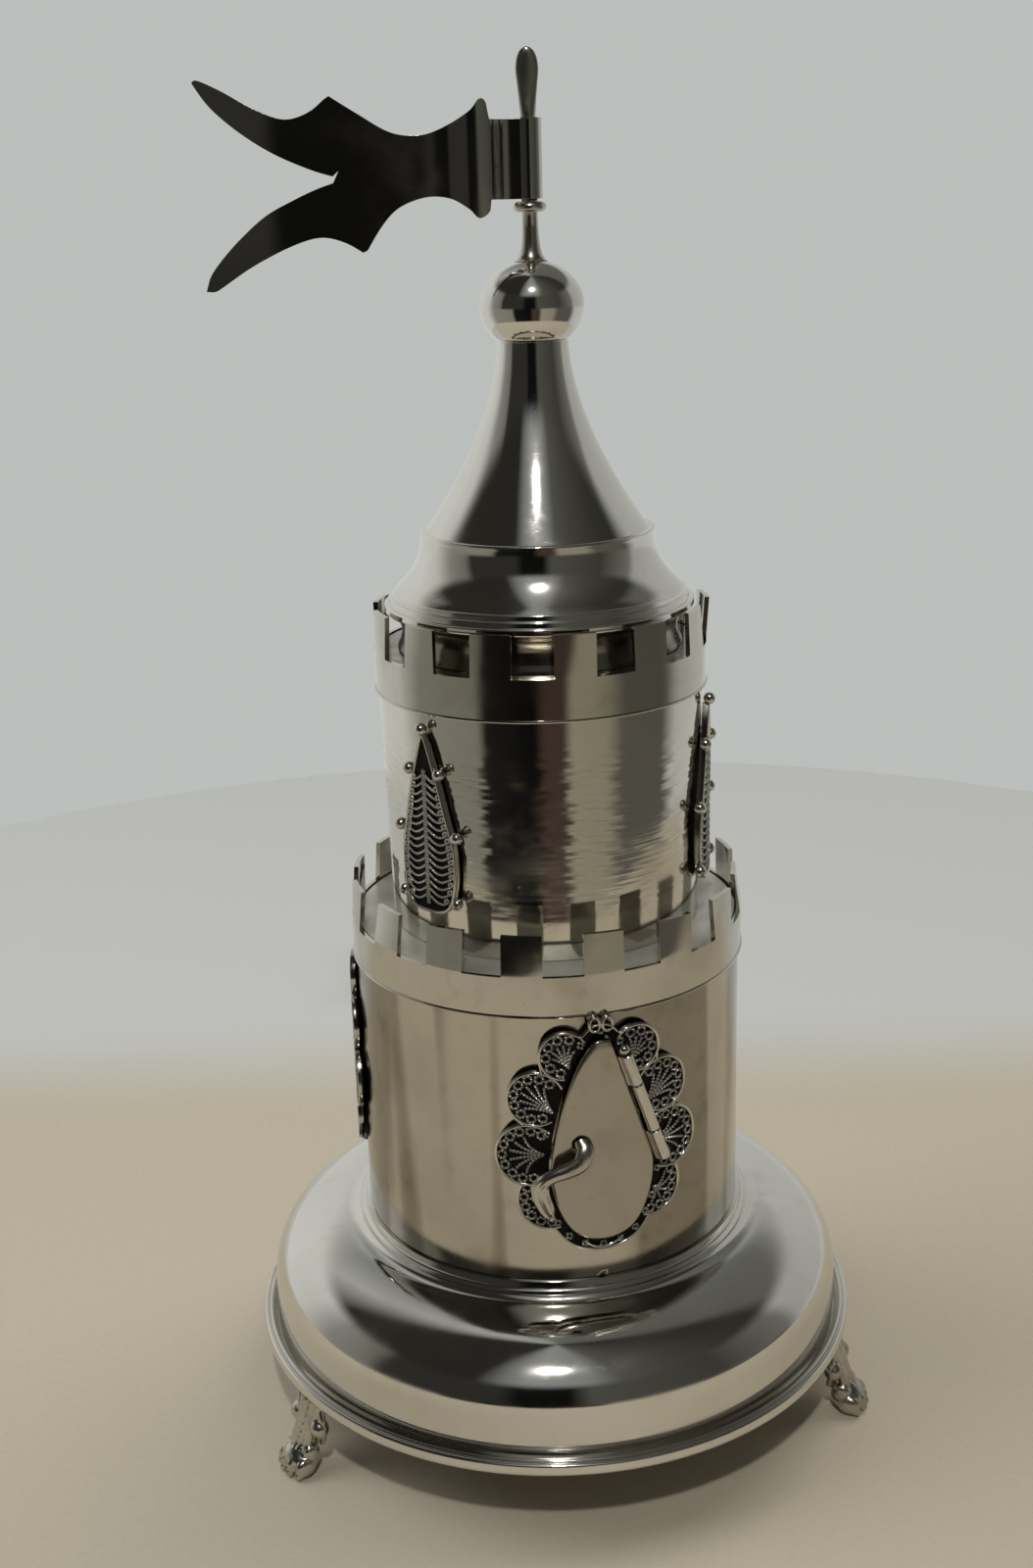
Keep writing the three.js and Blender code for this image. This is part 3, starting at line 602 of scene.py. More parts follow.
@dataclass
class Skin:
    """Surface of one piece, gathered in millimetres about the tower's axis."""

    points: list[Vector] = field(default_factory=list)
    faces: list[tuple[int, ...]] = field(default_factory=list)
    finishes: list[int] = field(default_factory=list)
    finish: int = 0

    def face(self, *corners: int) -> None:
        """Adds a face with the finish now in use."""
        self.faces.append(corners)
        self.finishes.append(self.finish)

    def grid(self, rows: Sequence[Sequence[Vector]], around: bool = False, along: bool = False) -> None:
        """Adds a surface through rows of points.

        Args:
            rows: Rows of as many points each.
            around: Whether each row closes on itself.
            along: Whether the last row joins the first.
        """
        start = len(self.points)
        width = len(rows[0])
        for row in rows:
            self.points.extend(row)
        count = len(rows)
        for i in range(count if along else count - 1):
            for j in range(width if around else width - 1):
                k = (j + 1) % width
                low, high = start + i * width, start + ((i + 1) % count) * width
                self.face(low + j, low + k, high + k, high + j)

    def cap(self, ring: Sequence[Vector], flip: bool = False) -> None:
        """Closes a ring of points with a fan about its middle.

        Args:
            ring: Points of the ring.
            flip: Whether the fan faces the other way.
        """
        start = len(self.points)
        middle = sum(ring, Vector()) / len(ring)
        self.points.extend([*ring, middle])
        count = len(ring)
        for j in range(count):
            k = (j + 1) % count
            corners = (start + j, start + k, start + count)
            self.face(*(reversed(corners) if flip else corners))

    def turned(self, profile: Profile, steps: int = 128) -> None:
        """Adds a profile of radius and height turned about the tower's axis."""
        rows = [[polar_point(r, a, z) for a in around(steps)] for r, z in profile]
        self.grid(rows, around=True)

    def loft(self, rings: Sequence[Sequence[Vector]]) -> None:
        """Adds a closed body through rings of points.

        Args:
            rings: Rings of as many points each.
        """
        self.grid(rings, around=True)
        self.cap(rings[0], flip=True)
        self.cap(rings[-1])

    def tube(
        self,
        path: Sequence[Vector],
        across: float,
        along: float | None = None,
        sides: int = 8,
        closed: bool = False,
        twist: float = 0,
        beads: float = 0,
    ) -> None:
        """Adds a wire along a path.

        Args:
            path: Middle line of the wire.
            across: Half width of the wire's section.
            along: Half depth of the section; the same as across if left out.
            sides: Sides of the section.
            closed: Whether the wire is a ring.
            twist: Turn of the section in radians per millimetre.
            beads: Distance between beads along the wire in millimetres; none if 0.
        """
        depth = across if along is None else along
        count = len(path)
        rings = []
        normal = None
        travelled = 0.0
        for index, point in enumerate(path):
            before = path[index - 1] if index or closed else point
            after = path[(index + 1) % count] if index < count - 1 or closed else point
            run = (after - before).normalized()
            if normal is None:
                normal = run.orthogonal().normalized()
            else:
                normal = (normal - run * normal.dot(run)).normalized()
            side = run.cross(normal)
            if index:
                travelled += (point - path[index - 1]).length
            spin = twist * travelled
            u = side * math.cos(spin) + normal * math.sin(spin)
            v = normal * math.cos(spin) - side * math.sin(spin)
            swell = 0.62 + 0.38 * abs(math.cos(math.pi * travelled / beads)) if beads else 1
            rings.append([
                point + u * (swell * across * math.cos(a)) + v * (swell * depth * math.sin(a))
                for a in around(sides)
            ])
        if closed:
            self.grid(rings, around=True, along=True)
        else:
            self.loft(rings)

    def blob(self, centre: Vector, sizes: Vector, frame: Matrix | None = None, steps: int = 14) -> None:
        """Adds an ellipsoid with half sizes along the frame's axes.

        Args:
            centre: Middle of the ellipsoid.
            sizes: Half sizes.
            frame: Axes that it lies along.
            steps: Rings from end to end.
        """
        frame = frame or Matrix.Identity(3)
        rings = []
        for i in range(1, steps):
            polar = math.pi * i / steps
            rings.append([
                centre + frame @ Vector((
                    sizes.x * math.sin(polar) * math.cos(a),
                    sizes.y * math.sin(polar) * math.sin(a),
                    -sizes.z * math.cos(polar),
                ))
                for a in around(2 * steps)
            ])
        self.loft(rings)

    def turn(self, degrees: float) -> "Skin":
        """Turns everything so far about the tower's axis.

        Args:
            degrees: Angle of the turn.

        Returns:
            The same skin.
        """
        turn = Matrix.Rotation(math.radians(degrees), 3, "Z")
        self.points = [turn @ point for point in self.points]
        return self


class Slot(Enum):
    """Finish slots that the record names."""

    BRIGHT = "bright_silver"
    CAST = "cast_silver"
    FILIGREE = "filigree_silver"


class Body(Enum):
    """Bodies of the tower that pieces ride on."""

    TOWER = "tower"
    DOOR = "door"
    FLAG = "flag"


@dataclass
class Maker:
    """Turns skins into finished pieces that ride on the frame."""

    count: int = 0

    def mesh_object(self, name: str, skin: Skin, crease: float = 35) -> Object:
        """Makes an object of a skin.

        Args:
            name: Name of the object.
            skin: Surface in millimetres about the tower's axis.
            crease: Angle in degrees from which an edge stays sharp.

        Returns:
            The object, in metres in the frame.
        """
        mesh = bpy.data.meshes.new(name)
        places = [(p.x * MM, (p.y + AXIS_Y) * MM, p.z * MM) for p in skin.points]
        mesh.from_pydata(places, [], skin.faces)
        mesh.polygons.foreach_set("material_index", skin.finishes)
        work = bmesh.new()
        work.from_mesh(mesh)
        bmesh.ops.remove_doubles(work, verts=work.verts, dist=0.002 * MM)
        bmesh.ops.dissolve_degenerate(work, edges=work.edges, dist=0.0005 * MM)
        bmesh.ops.recalc_face_normals(work, faces=work.faces)
        work.to_mesh(mesh)
        work.free()
        mesh.shade_smooth()
        mesh.set_sharp_from_angle(angle=math.radians(crease))
        piece = bpy.data.objects.new(name, mesh)
        bpy.context.scene.collection.objects.link(piece)
        return piece

    def finish(
        self,
        piece: Object,
        materials: Sequence[Material],
        slot: Slot,
        body: Body,
        *nodes: str,
    ) -> None:
        """Gives a piece its materials and places it in the frame.

        Args:
            piece: The object.
            materials: Materials by finish number.
            slot: Finish slot of the record; not used.
            body: Body that it rides on.
            nodes: Solids that it stands for.
        """
        for material in materials:
            piece.data.materials.append(material)
        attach(piece, body.value)
        if nodes:
            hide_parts(*nodes)
        self.count += 1
        log.info("%s: %d faces, on %s", piece.name, len(piece.data.polygons), body.value)

    def make(
        self,
        name: str,
        skin: Skin,
        crease: float,
        materials: Sequence[Material],
        node: str,
        slot: Slot = Slot.BRIGHT,
        body: Body = Body.TOWER,
    ) -> None:
        """Makes a finished piece of a skin.

        Args:
            name: Name of the piece.
            skin: Surface in millimetres about the tower's axis.
            crease: Angle in degrees from which an edge stays sharp.
            materials: Materials by finish number.
            node: Solid that it stands for.
            slot: Finish slot of the record.
            body: Body that it rides on.
        """
        self.finish(self.mesh_object(name, skin, crease), materials, slot, body, node)


MAKER = Maker()


def recipe(name: str, working: Working, **options: Any) -> Any:
    """Field that holds the material of a silver finish."""
    return field(default_factory=lambda: Silver(name, working, **options).material())


@dataclass
class Finishes:
    """All the materials of the tower, each built once."""

    spun: Material = recipe(
        "silver_spun", Working.SPUN, line_depth=0.0012, wave_depth=0.03, colour=(0.76, 0.745, 0.70),
    )
    # Lower drum: its silver colour is darkened as painted shade of the shaded floor it reflects; the dark
    # tarnish colour serves both its real tarnish and the vertical dark stripes, which are painted
    # reflections.
    drum: Material = recipe(
        "silver_lower_drum", Working.SPUN, line_depth=0.004, wave_depth=0.15,
        colour=(0.58, 0.55, 0.485), tarnish=(0.20, 0.175, 0.13), tarnish_share=0.3, polish=0.1,
        streaks=2.1,
    )
    lathe_marked: Material = recipe(
        "silver_upper_drum", Working.CHATTERED, line_depth=0.004, wave_depth=0.05,
        colour=(0.72, 0.70, 0.64), tarnish_share=0.45,
    )
    sheet: Material = recipe(
        "silver_sheet", Working.PLANISHED, wave_depth=0.12,
        colour=(0.60, 0.58, 0.52), tarnish=(0.40, 0.365, 0.30), tarnish_share=0.55, polish=0.08,
    )
    # Darker, browner silver for the parts under the roof: the upper deck and the roof's collar.
    under_roof: Material = recipe(
        "silver_under_roof", Working.PLANISHED, wave_depth=0.08,
        colour=(0.42, 0.395, 0.335), tarnish=(0.14, 0.115, 0.085), tarnish_share=0.9, polish=0.17,
        smudge=0.16,
    )
    dusty: Material = recipe(
        "silver_dusty", Working.PLANISHED, wave_depth=0.12,
        colour=(0.60, 0.58, 0.52), tarnish=(0.34, 0.31, 0.25), tarnish_share=0.6, polish=0.36,
        smudge=0.2, metal=0.7,
    )
    door: Material = recipe(
        "silver_door", Working.PLANISHED, wave_depth=0.03,
        colour=(0.44, 0.415, 0.355), tarnish=(0.30, 0.265, 0.21), tarnish_share=0.6, polish=0.13,
        scratch=0.09,
    )
    cast: Material = recipe(
        "silver_cast", Working.CAST, colour=(0.58, 0.555, 0.50), tarnish=(0.24, 0.21, 0.165),
        tarnish_share=0.8, polish=0.2, smudge=0.14,
    )
    rim: Material = recipe(
        "silver_rim", Working.WIRE, colour=(0.66, 0.64, 0.585), tarnish=(0.30, 0.27, 0.22),
        tarnish_share=0.7, polish=0.13,
    )
    vane: Material = recipe(
        "silver_flag", Working.PLANISHED, colour=(0.72, 0.71, 0.66), wave_depth=0.10,
        tarnish_share=0.5, polish=0.08,
    )


# Base

@dataclass
class Base:
    """Spun base: rim, band, dome and the stepped seat under the drum."""

    finishes: Finishes
    rim: Span = field(default_factory=lambda: Span.of("base_rim"))
    dome: Span = field(default_factory=lambda: Span.of("base_dome"))
    band_height: float = 9.0
    dome_rise: float = 10.5
    dome_edge: float = 36.0
    fullness: float = 1.85
    wall: float = 1.1

    def build(self) -> None:
        """Builds the rim and the dome."""
        self._build_rim()
        self._build_dome()

    def _build_rim(self) -> None:
        """Half-round ring with a raised lip and a fine groove."""
        r, low, top = self.rim.radius, self.rim.foot, self.rim.top
        inner = self.dome.radius + 0.05
        profile = [
            (inner, low), (r - 1.0, low),
            *arc((r - 1.0, low + 1.0), 1.0, -90, 20, 10),
            *arc((r - 0.62, low + 1.78), 0.55, -10, 95, 8),
            (r - 0.9, top - 0.42), (r - 1.0, top - 0.5),
            *arc((r - 1.32, top - 0.4), 0.3, 10, 170, 6),
            (r - 1.8, top - 1.0), (inner, top - 1.5), (inner, low),
        ]
        skin = Skin()
        skin.turned(profile, 192)
        MAKER.make("rim", skin, 50, [self.finishes.spun], "base_rim")

    def _build_dome(self) -> None:
        """Band, full dome, cove and seat, hollow below."""
        low, radius = self.dome.foot, self.dome.radius
        band_top = self.rim.foot + self.band_height
        power = 2 / self.fullness
        outer = [(radius, low), (radius, band_top)]
        edge = radius
        steps = 40
        for index in range(1, steps + 1):
            angle = index / steps * math.pi / 2
            share, lift = math.cos(angle) ** power, math.sin(angle) ** power
            outer.append((lerp(self.dome_edge, edge, share), band_top + self.dome_rise * lift))
        dome_top = band_top + self.dome_rise
        seat_top = self.dome.top
        seat = [
            (self.dome_edge - 0.7, dome_top + 0.1), (34.7, dome_top + 0.32), (34.2, dome_top + 0.68),
            (34.0, dome_top + 1.05), (33.72, dome_top + 1.12), (33.6, dome_top + 1.45),
            (33.35, dome_top + 1.8), (33.1, dome_top + 1.88), (33.0, dome_top + 2.2),
            (32.75, seat_top - 0.06), (32.5, seat_top),
        ]
        outer += [*seat, (28, seat_top)]
        inner = [
            (28, seat_top - self.wall), (33, seat_top - self.wall - 0.2), (35, dome_top - self.wall),
            (40, dome_top - 1.2 - self.wall), (45, band_top + 6.0), (radius - self.wall, band_top),
            (radius - self.wall, low), (radius, low),
        ]
        skin = Skin()
        skin.turned([*outer, *smooth(inner[:6], 4), *inner[6:]], 192)
        MAKER.make("dome", skin, 40, [self.finishes.spun], "base_dome")


@dataclass
class Foot:
    """Cast paw foot with folds on its leg, curls at the sides and toes."""

    finishes: Finishes
    node: str
    azimuth: float
    height: float = 12.9
    reach: float = 57.0
    voxel: float = 0.15

    def build(self) -> None:
        """Models the foot as joined lumps and melts them into one casting."""
        skin = Skin()
        self._leg(skin)
        self._paw(skin)
        self._curls(skin)
        skin.turn(self.azimuth)
        rough = MAKER.mesh_object(f"{self.node}_lumps", skin)
        melt = rough.modifiers.new("melt", "REMESH")
        melt.mode = "VOXEL"
        melt.voxel_size = self.voxel * MM
        relax = rough.modifiers.new("relax", "SMOOTH")
        relax.factor = 0.5
        relax.iterations = 2
        view = bpy.context.evaluated_depsgraph_get()
        mesh = bpy.data.meshes.new_from_object(rough.evaluated_get(view))
        lumps = rough.data
        bpy.data.objects.remove(rough)
        bpy.data.meshes.remove(lumps)
        heights = [vertex.co.z for vertex in mesh.vertices]
        low, high = min(heights), max(heights)
        for vertex in mesh.vertices:
            vertex.co.z = (vertex.co.z - low) * self.height * MM / (high - low)
        mesh.shade_smooth()
        mesh.name = self.node
        piece = bpy.data.objects.new(self.node.replace("foot", "paw_foot"), mesh)
        bpy.context.scene.collection.objects.link(piece)
        MAKER.finish(piece, [self.finishes.cast], Slot.CAST, Body.TOWER, self.node)

    def _leg(self, skin: Skin) -> None:
        """Leg with long folds that gather at the ankle and spread under the rim.

        Args:
            skin: Surface that it joins.
        """
        keys = [
            (0.2, 52.6, 2.2, 2.5), (0.36, 52.1, 2.1, 2.2), (0.52, 51.3, 1.6, 1.9), (0.7, 50.6, 1.4, 2.2),
            (0.88, 49.9, 1.4, 2.9), (1.0, 49.6, 1.5, 3.4),
        ]
        skin.loft([
            [
                Vector((half * math.cos(a), -(middle + depth * math.sin(a)), share * self.height))
                for a in (-turn for turn in around(32))
            ]
            for share, middle, depth, half in smooth(keys, 4)
        ])
        for fold in (-2, -1, 0, 1, 2):
            path = []
            for k in range(17):
                t = k / 16
                spread = lerp(0.72, 1.55, t ** 1.6) + 0.35 * (1 - t) ** 3
                path.append(Vector((
                    fold * spread,
                    -(lerp(54.6, 51.2, t ** 0.7) - 0.35 * abs(fold)),
                    lerp(3.6, self.height, t),
                )))
            skin.tube(path, 0.62, sides=10)

    def _paw(self, skin: Skin) -> None:
        """Rounded paw with four toes and their claws.

        Args:
            skin: Surface that it joins.
        """
        skin.blob(Vector((0, -53.1, 2.5)), Vector((3.5, 2.9, 2.5)))
        for aside in (-2.75, -0.95, 0.95, 2.75):
            spread = abs(aside) / 2.75
            reach = self.reach - 2.2 - 1.0 * spread
            skin.blob(Vector((aside, -reach, 2.0)), Vector((1.0, 1.9, 1.75)))
            skin.blob(Vector((aside, -(reach + 1.2), 0.95)), Vector((0.62, 0.95, 0.9)))
            skin.blob(Vector((aside * 0.92, 1.4 - reach, 4.1)), Vector((0.8, 1.5, 1.5)))

    def _curls(self, skin: Skin) -> None:
        """Ball on a curled leaf at each side of the leg.

        Args:
            skin: Surface that it joins.
        """
        for side in (-1, 1):
            skin.blob(Vector((side * 3.1, -51.0, 8.6)), Vector((1.7, 1.6, 1.75)))
            path = [
                Vector((
                    side * (2.5 + 1.5 * math.sin(t * 3.1)),
                    -(50.3 + 0.5 * math.sin(t * 3.1)),
                    5.2 + 7.4 * t,
                ))
                for t in (index / 14 for index in range(15))
            ]
            skin.tube(path, 0.62, sides=10)


# Drums

@dataclass
class Battlement:
    """Standing strip with merlons, each bent a little by use."""

    finishes: Finishes
    node: str
    merlons: int
    azimuth: float
    seed: int
    lean: float = 0.0
    band: float = 6.6
    sheet: float = 0.75
    uneven: float = 3.6
    skew: float = 0.07
    steps: int = 6
    bead: float = 0.22

    def build(self) -> None:
        """Builds the strip segment by segment and bends its merlons."""
        span = Span.of(self.node)
        crenel = span.foot + self.band
        steps = self.steps
        pitch = math.tau / self.merlons
        chance = random.Random(self.seed)
        bends = [
            (math.radians(self.lean + chance.uniform(-1, 1) * self.uneven), chance.uniform(-1, 1) * self.skew)
            for _ in range(self.merlons)
        ]
        skin = Skin()
        outer, inner = span.radius, span.radius - self.sheet
        count = self.merlons * 2 * steps
        start = math.radians(self.azimuth) - pitch / 4

        def merlon_of(index: int) -> int:
            """Number of the merlon that a segment belongs to, or -1 in a gap."""
            index %= count
            return index // (2 * steps) if index % (2 * steps) < steps else -1

        def corner(index: int, radius: float, height: float, merlon: int) -> Vector:
            """Corner of a segment, with the bend of its merlon.

            Args:
                index: Number of the segment's edge.
                radius: Radius where it isn't bent.
                height: Height of the corner.
                merlon: Number of the merlon, or -1 in a gap.

            Returns:
                The corner.
            """
            angle = start + index * math.tau / count
            if merlon >= 0 and height > crenel:
                lean, skew = bends[merlon]
                across = (index % (2 * steps)) / steps - 0.5
                radius += max(0.0, height - crenel - 0.5) * (math.tan(lean) + across * skew)
            return polar_point(radius, angle, height)

        levels = [span.foot, crenel]
        rises = [crenel, *(lerp(crenel, span.top, share) for share in (0.06, 0.2, 0.6, 1))]
        for index in range(count):
            merlon = merlon_of(index)
            heights = levels + rises[1:] if merlon >= 0 else levels
            for radius, flip in ((outer, False), (inner, True)):
                columns = [[corner(i, radius, h, merlon) for h in heights] for i in (index, index + 1)]
                skin.grid(columns[::-1] if flip else columns)
            for height in (heights[0], heights[-1]):
                skin.grid([
                    [corner(i, r, height, merlon) for r in (inner, outer)] for i in (index, index + 1)
                ])
            for edge, other in ((index, index - 1), (index + 1, index + 1)):
                if merlon >= 0 and merlon_of(other) != merlon:
                    skin.grid([[corner(edge, r, h, merlon) for h in rises] for r in (inner, outer)])
        line = [polar_point(outer + 0.02, a, span.foot + 0.16) for a in around(144)]
        skin.tube(line, self.bead, sides=8, closed=True)
        name = self.node.replace("_", "_crown_", 1)
        MAKER.make(name, skin, 30, [self.finishes.sheet], self.node)


@dataclass
class Drums:
    """Lower cup with its doorway, ledge, upper tube and deck."""

    finishes: Finishes
    wall: float = 0.9
    door_half_width: float = 6.7
    door_margin: float = 1.3
    window: float = 14.0
    window_margins: Point2 = (0.9, 1.5)
    foot_radius: float = 25.5
    foot_line: float = 0.4
    row: float = 0.56
    columns: int = 320
    chatter: float = 0.085
    chatter_seed: int = 11

    def build(self) -> None:
        """Builds the drums and the plates between them."""
        self._lower()
        self._plate("ledge_plate", "ledge", 23.0, self.finishes.dusty)
        self._upper()
        self._plate("upper_deck", "deck", 0.0, self.finishes.under_roof)

    def _lower(self) -> None:
        """Cup with a teardrop hole, its wall made as a grid that bends round the hole."""
        span = Span.of("lower_drum")
        door_low, door_high = node_box("door_plate")
        foot = door_low.z + self.door_margin
        height = door_high.z - door_low.z - 2 * self.door_margin
        outline = teardrop(self.door_half_width, height, foot)
        middle = (0.0, foot + 0.42 * height)
        hole = Reach(middle, outline)
        wall = Wall(span.radius)
        half = self.window
        low, high = span.foot + self.window_margins[0], foot + height + self.window_margins[1]

        def frame_point(angle: float) -> Point2:
            """Point on the rectangle round the doorway, in a direction from its middle.

            Args:
                angle: Direction in radians.

            Returns:
                The point, aside and up.
            """
            dx, dy = math.cos(angle), math.sin(angle)
            reach_x = half / abs(dx) if abs(dx) > 1e-9 else math.inf
            limit = high - middle[1] if dy > 0 else middle[1] - low
            reach_y = limit / abs(dy) if abs(dy) > 1e-9 else math.inf
            reach = min(reach_x, reach_y)
            return middle[0] + reach * dx, middle[1] + reach * dy

        corners = [math.atan2(y - middle[1], x) % math.tau for x in (-half, half) for y in (low, high)]
        angles = sorted(around(120) + corners)
        skin = Skin()
        for radius, flip in ((span.radius, False), (span.radius - self.wall, True)):
            rows = [
                [wall.at(*mix(hole.point(a), frame_point(a), share), radius) for a in angles]
                for share in (0, 0.25, 0.5, 0.75, 1)
            ]
            skin.grid([row[::-1] for row in rows] if flip else rows, around=True)
            self._rest_of_wall(skin, wall, radius, span, (half, low, high), angles, frame_point)
        inner = span.radius - self.wall
        skin.grid([[wall.at(*hole.point(a), r) for a in angles] for r in (span.radius, inner)], around=True)
        skin.turned([(inner, span.top), (span.radius, span.top)], 144)
        skin.turned([(0, span.foot), (span.radius, span.foot)], 144)
        skin.turned([(0, span.foot + 1), (inner, span.foot + 1)], 144)
        MAKER.make("drum_low", skin, 30, [self.finishes.drum], "lower_drum")

    @staticmethod
    def _rest_of_wall(
        skin: Skin,
        wall: Wall,
        radius: float,
        span: Span,
        window: tuple[float, float, float],
        angles: Sequence[float],
        frame_point: Callable[[float], Point2],
    ) -> None:
        """Adds the wall outside the window round the doorway.

        Args:
            skin: Surface that it joins.
            wall: Wall that the window is drawn on.
            radius: Radius of this side of the wall.
            span: Foot and top of the drum.
            window: Half width, low and high edge of the window.
            angles: Directions in which the window's edge has points.
            frame_point: Point of the window's edge in a direction.
        """
        half, low, high = window
        edge = [frame_point(angle) for angle in angles]
        asides = sorted({round(x, 6) for x, y in edge if abs(y - low) < 1e-6 or abs(y - high) < 1e-6})
        heights = sorted({round(y, 6) for x, y in edge if abs(abs(x) - half) < 1e-6})
        for bottom, top in ((span.foot, low), (high, span.top)):
            skin.grid([[wall.at(x, z, radius) for x in asides] for z in (bottom, top)])
        limit = math.pi * wall.radius
        steps = 60
        rest = [half + (2 * limit - 2 * half) * k / steps for k in range(steps + 1)]
        levels = [span.foot, *heights, span.top]
        skin.grid([[wall.at(x, z, radius) for x in rest] for z in levels])

    def _upper(self) -> None:
        """Tube, a little wider at its top, with a rolled foot line."""
        span = Span.of("upper_drum")
        inner = span.radius - self.wall
        foot, start = self.foot_radius, span.foot + self.foot_line
        skin = Skin()
        angles = around(self.columns)
        chance = random.Random(self.chatter_seed)
        rows = [[polar_point(foot, a, z) for a in angles] for z in (span.foot, start)]
        count = round((span.top - span.foot - self.foot_line) / self.row)
        for index in range(count):
            waves = [
                (chance.uniform(14, 30), chance.uniform(0, math.tau), chance.uniform(0.3, 1))
                for _ in range(2)
            ]
            for end in (0, 1):
                share = (index + end) / count
                z = lerp(start, span.top, share)
                radius = lerp(foot, span.radius, share)
                belt = math.sin(math.pi * min(1, max(0, (share - 0.16) / 0.74))) ** 0.7
                depth = self.chatter * belt
                rows.append([
                    Vector((math.sin(a), -math.cos(a), 0)) * (radius - depth + depth * sum(
                        weight * math.sin(round(turns) * a + phase) for turns, phase, weight in waves) / 2)
                    + Vector((0, 0, z))
                    for a in angles
                ])
        rest = ((span.radius, span.top), (inner, span.top), (foot - self.wall, span.foot))
        rows += [[polar_point(r, a, z) for a in angles] for r, z in rest]
        skin.grid(rows, around=True, along=True)
        MAKER.make("drum_up", skin, 30, [self.finishes.lathe_marked], "upper_drum")

    def _plate(self, node: str, name: str, opening: float, finish: Material) -> None:
        """Flat plate between the drums, with or without an opening.

        Args:
            node: Solid that it stands for.
            name: Name of the piece.
            opening: Radius of its hole, or 0.
            finish: Its material.
        """
        span = Span.of(node)
        radii = (opening, span.radius)
        profile = [(r, span.foot) for r in radii] + [(r, span.top) for r in radii[::-1]]
        profile.append(profile[0])
        skin = Skin()
        skin.turned(profile if opening else profile[:4], 128)
        MAKER.make(name, skin, 30, [finish], node)


# Roof and finial

@dataclass
class Roof:
    """Spun roof with collar, eaves mouldings, hollow shoulder, crease and cone."""

    finishes: Finishes
    collar: float = 22.2
    crease: float = 18.5
    cone: float = 17.6
    neck: float = 5.5
    shoulder: float = 22.6
    collar_height: float = 6.3
    mouldings: float = 3.2
    shoulder_height: float = 8.3
    crease_height: float = 0.6

    def build(self) -> None:
        """Builds the roof's shell."""
        span = Span.of("roof")
        r, low, top = span.radius, span.foot, span.top
        eaves = low + self.collar_height
        foot = eaves + self.mouldings
        crease = foot + self.shoulder_height
        cone = crease + self.crease_height
        skirt = [
            (self.collar + 0.1, low + 1.2), (self.collar - 0.15, low + 3), (self.collar + 0.5, low + 4.9),
            (r - 0.7, eaves - 0.35),
        ]
        outer = [
            (self.collar + 0.6, low), (self.collar + 0.5, low + 0.5), *smooth(skirt, 6),
            *arc((r - 0.35, eaves + 0.05), 0.35, -80, 30, 6),
            *arc((r - 0.3, eaves + 0.65), 0.3, -20, 90, 5),
            (r - 0.75, eaves + 0.98), (r - 0.8, eaves + 1.35),
            *arc((r - 1.15, eaves + 1.55), 0.3, -10, 90, 5),
            (r - 1.4, eaves + 1.9), (r - 1.45, eaves + 2.35),
            *arc((r - 1.75, eaves + 2.5), 0.28, 0, 90, 4),
        ]
        collar, outer = outer[:21], outer[20:]
        outer += self._sweep(self.shoulder, self.crease, foot, self.shoulder_height, 2.2, 18)
        outer.append((self.crease + 0.05, crease + 0.12))
        outer += arc((self.crease - 0.3, crease + 0.3), 0.35, -10, 80, 5)
        outer += self._sweep(self.cone, self.neck, cone, top - cone, 1.7, 36)
        inner = [(0, top), (0, top - 1)]
        inner += [(radius - 1, height) for radius, height in reversed(self._sweep(
            self.cone, self.neck, cone, top - 1.2 - cone, 1.7, 8))]
        inner += [(self.shoulder - 1.2, foot), (self.collar - 1, low + 4), (self.collar - 1, low), outer[0]]
        skin = Skin()
        skin.turned([*outer, *inner[:-1], collar[0]], 160)
        skin.finish = 1
        skin.turned(collar, 160)
        finishes = [self.finishes.spun, self.finishes.under_roof]
        MAKER.make("roof_bell", skin, 38, finishes, "roof")

    @staticmethod
    def _sweep(start: float, end: float, low: float, rise: float, bend: float, steps: int) -> Profile:
        """Hollow curve from one radius up to the next.

        Args:
            start: Radius at the foot.
            end: Radius at the top.
            low: Height of the foot.
            rise: Height from foot to top.
            bend: How hollow it is; 1 is straight.
            steps: Number of stretches.

        Returns:
            The curve.
        """
        return [
            (end + (start - end) * (1 - k / steps) ** bend, low + rise * k / steps)
            for k in range(steps + 1)
        ]


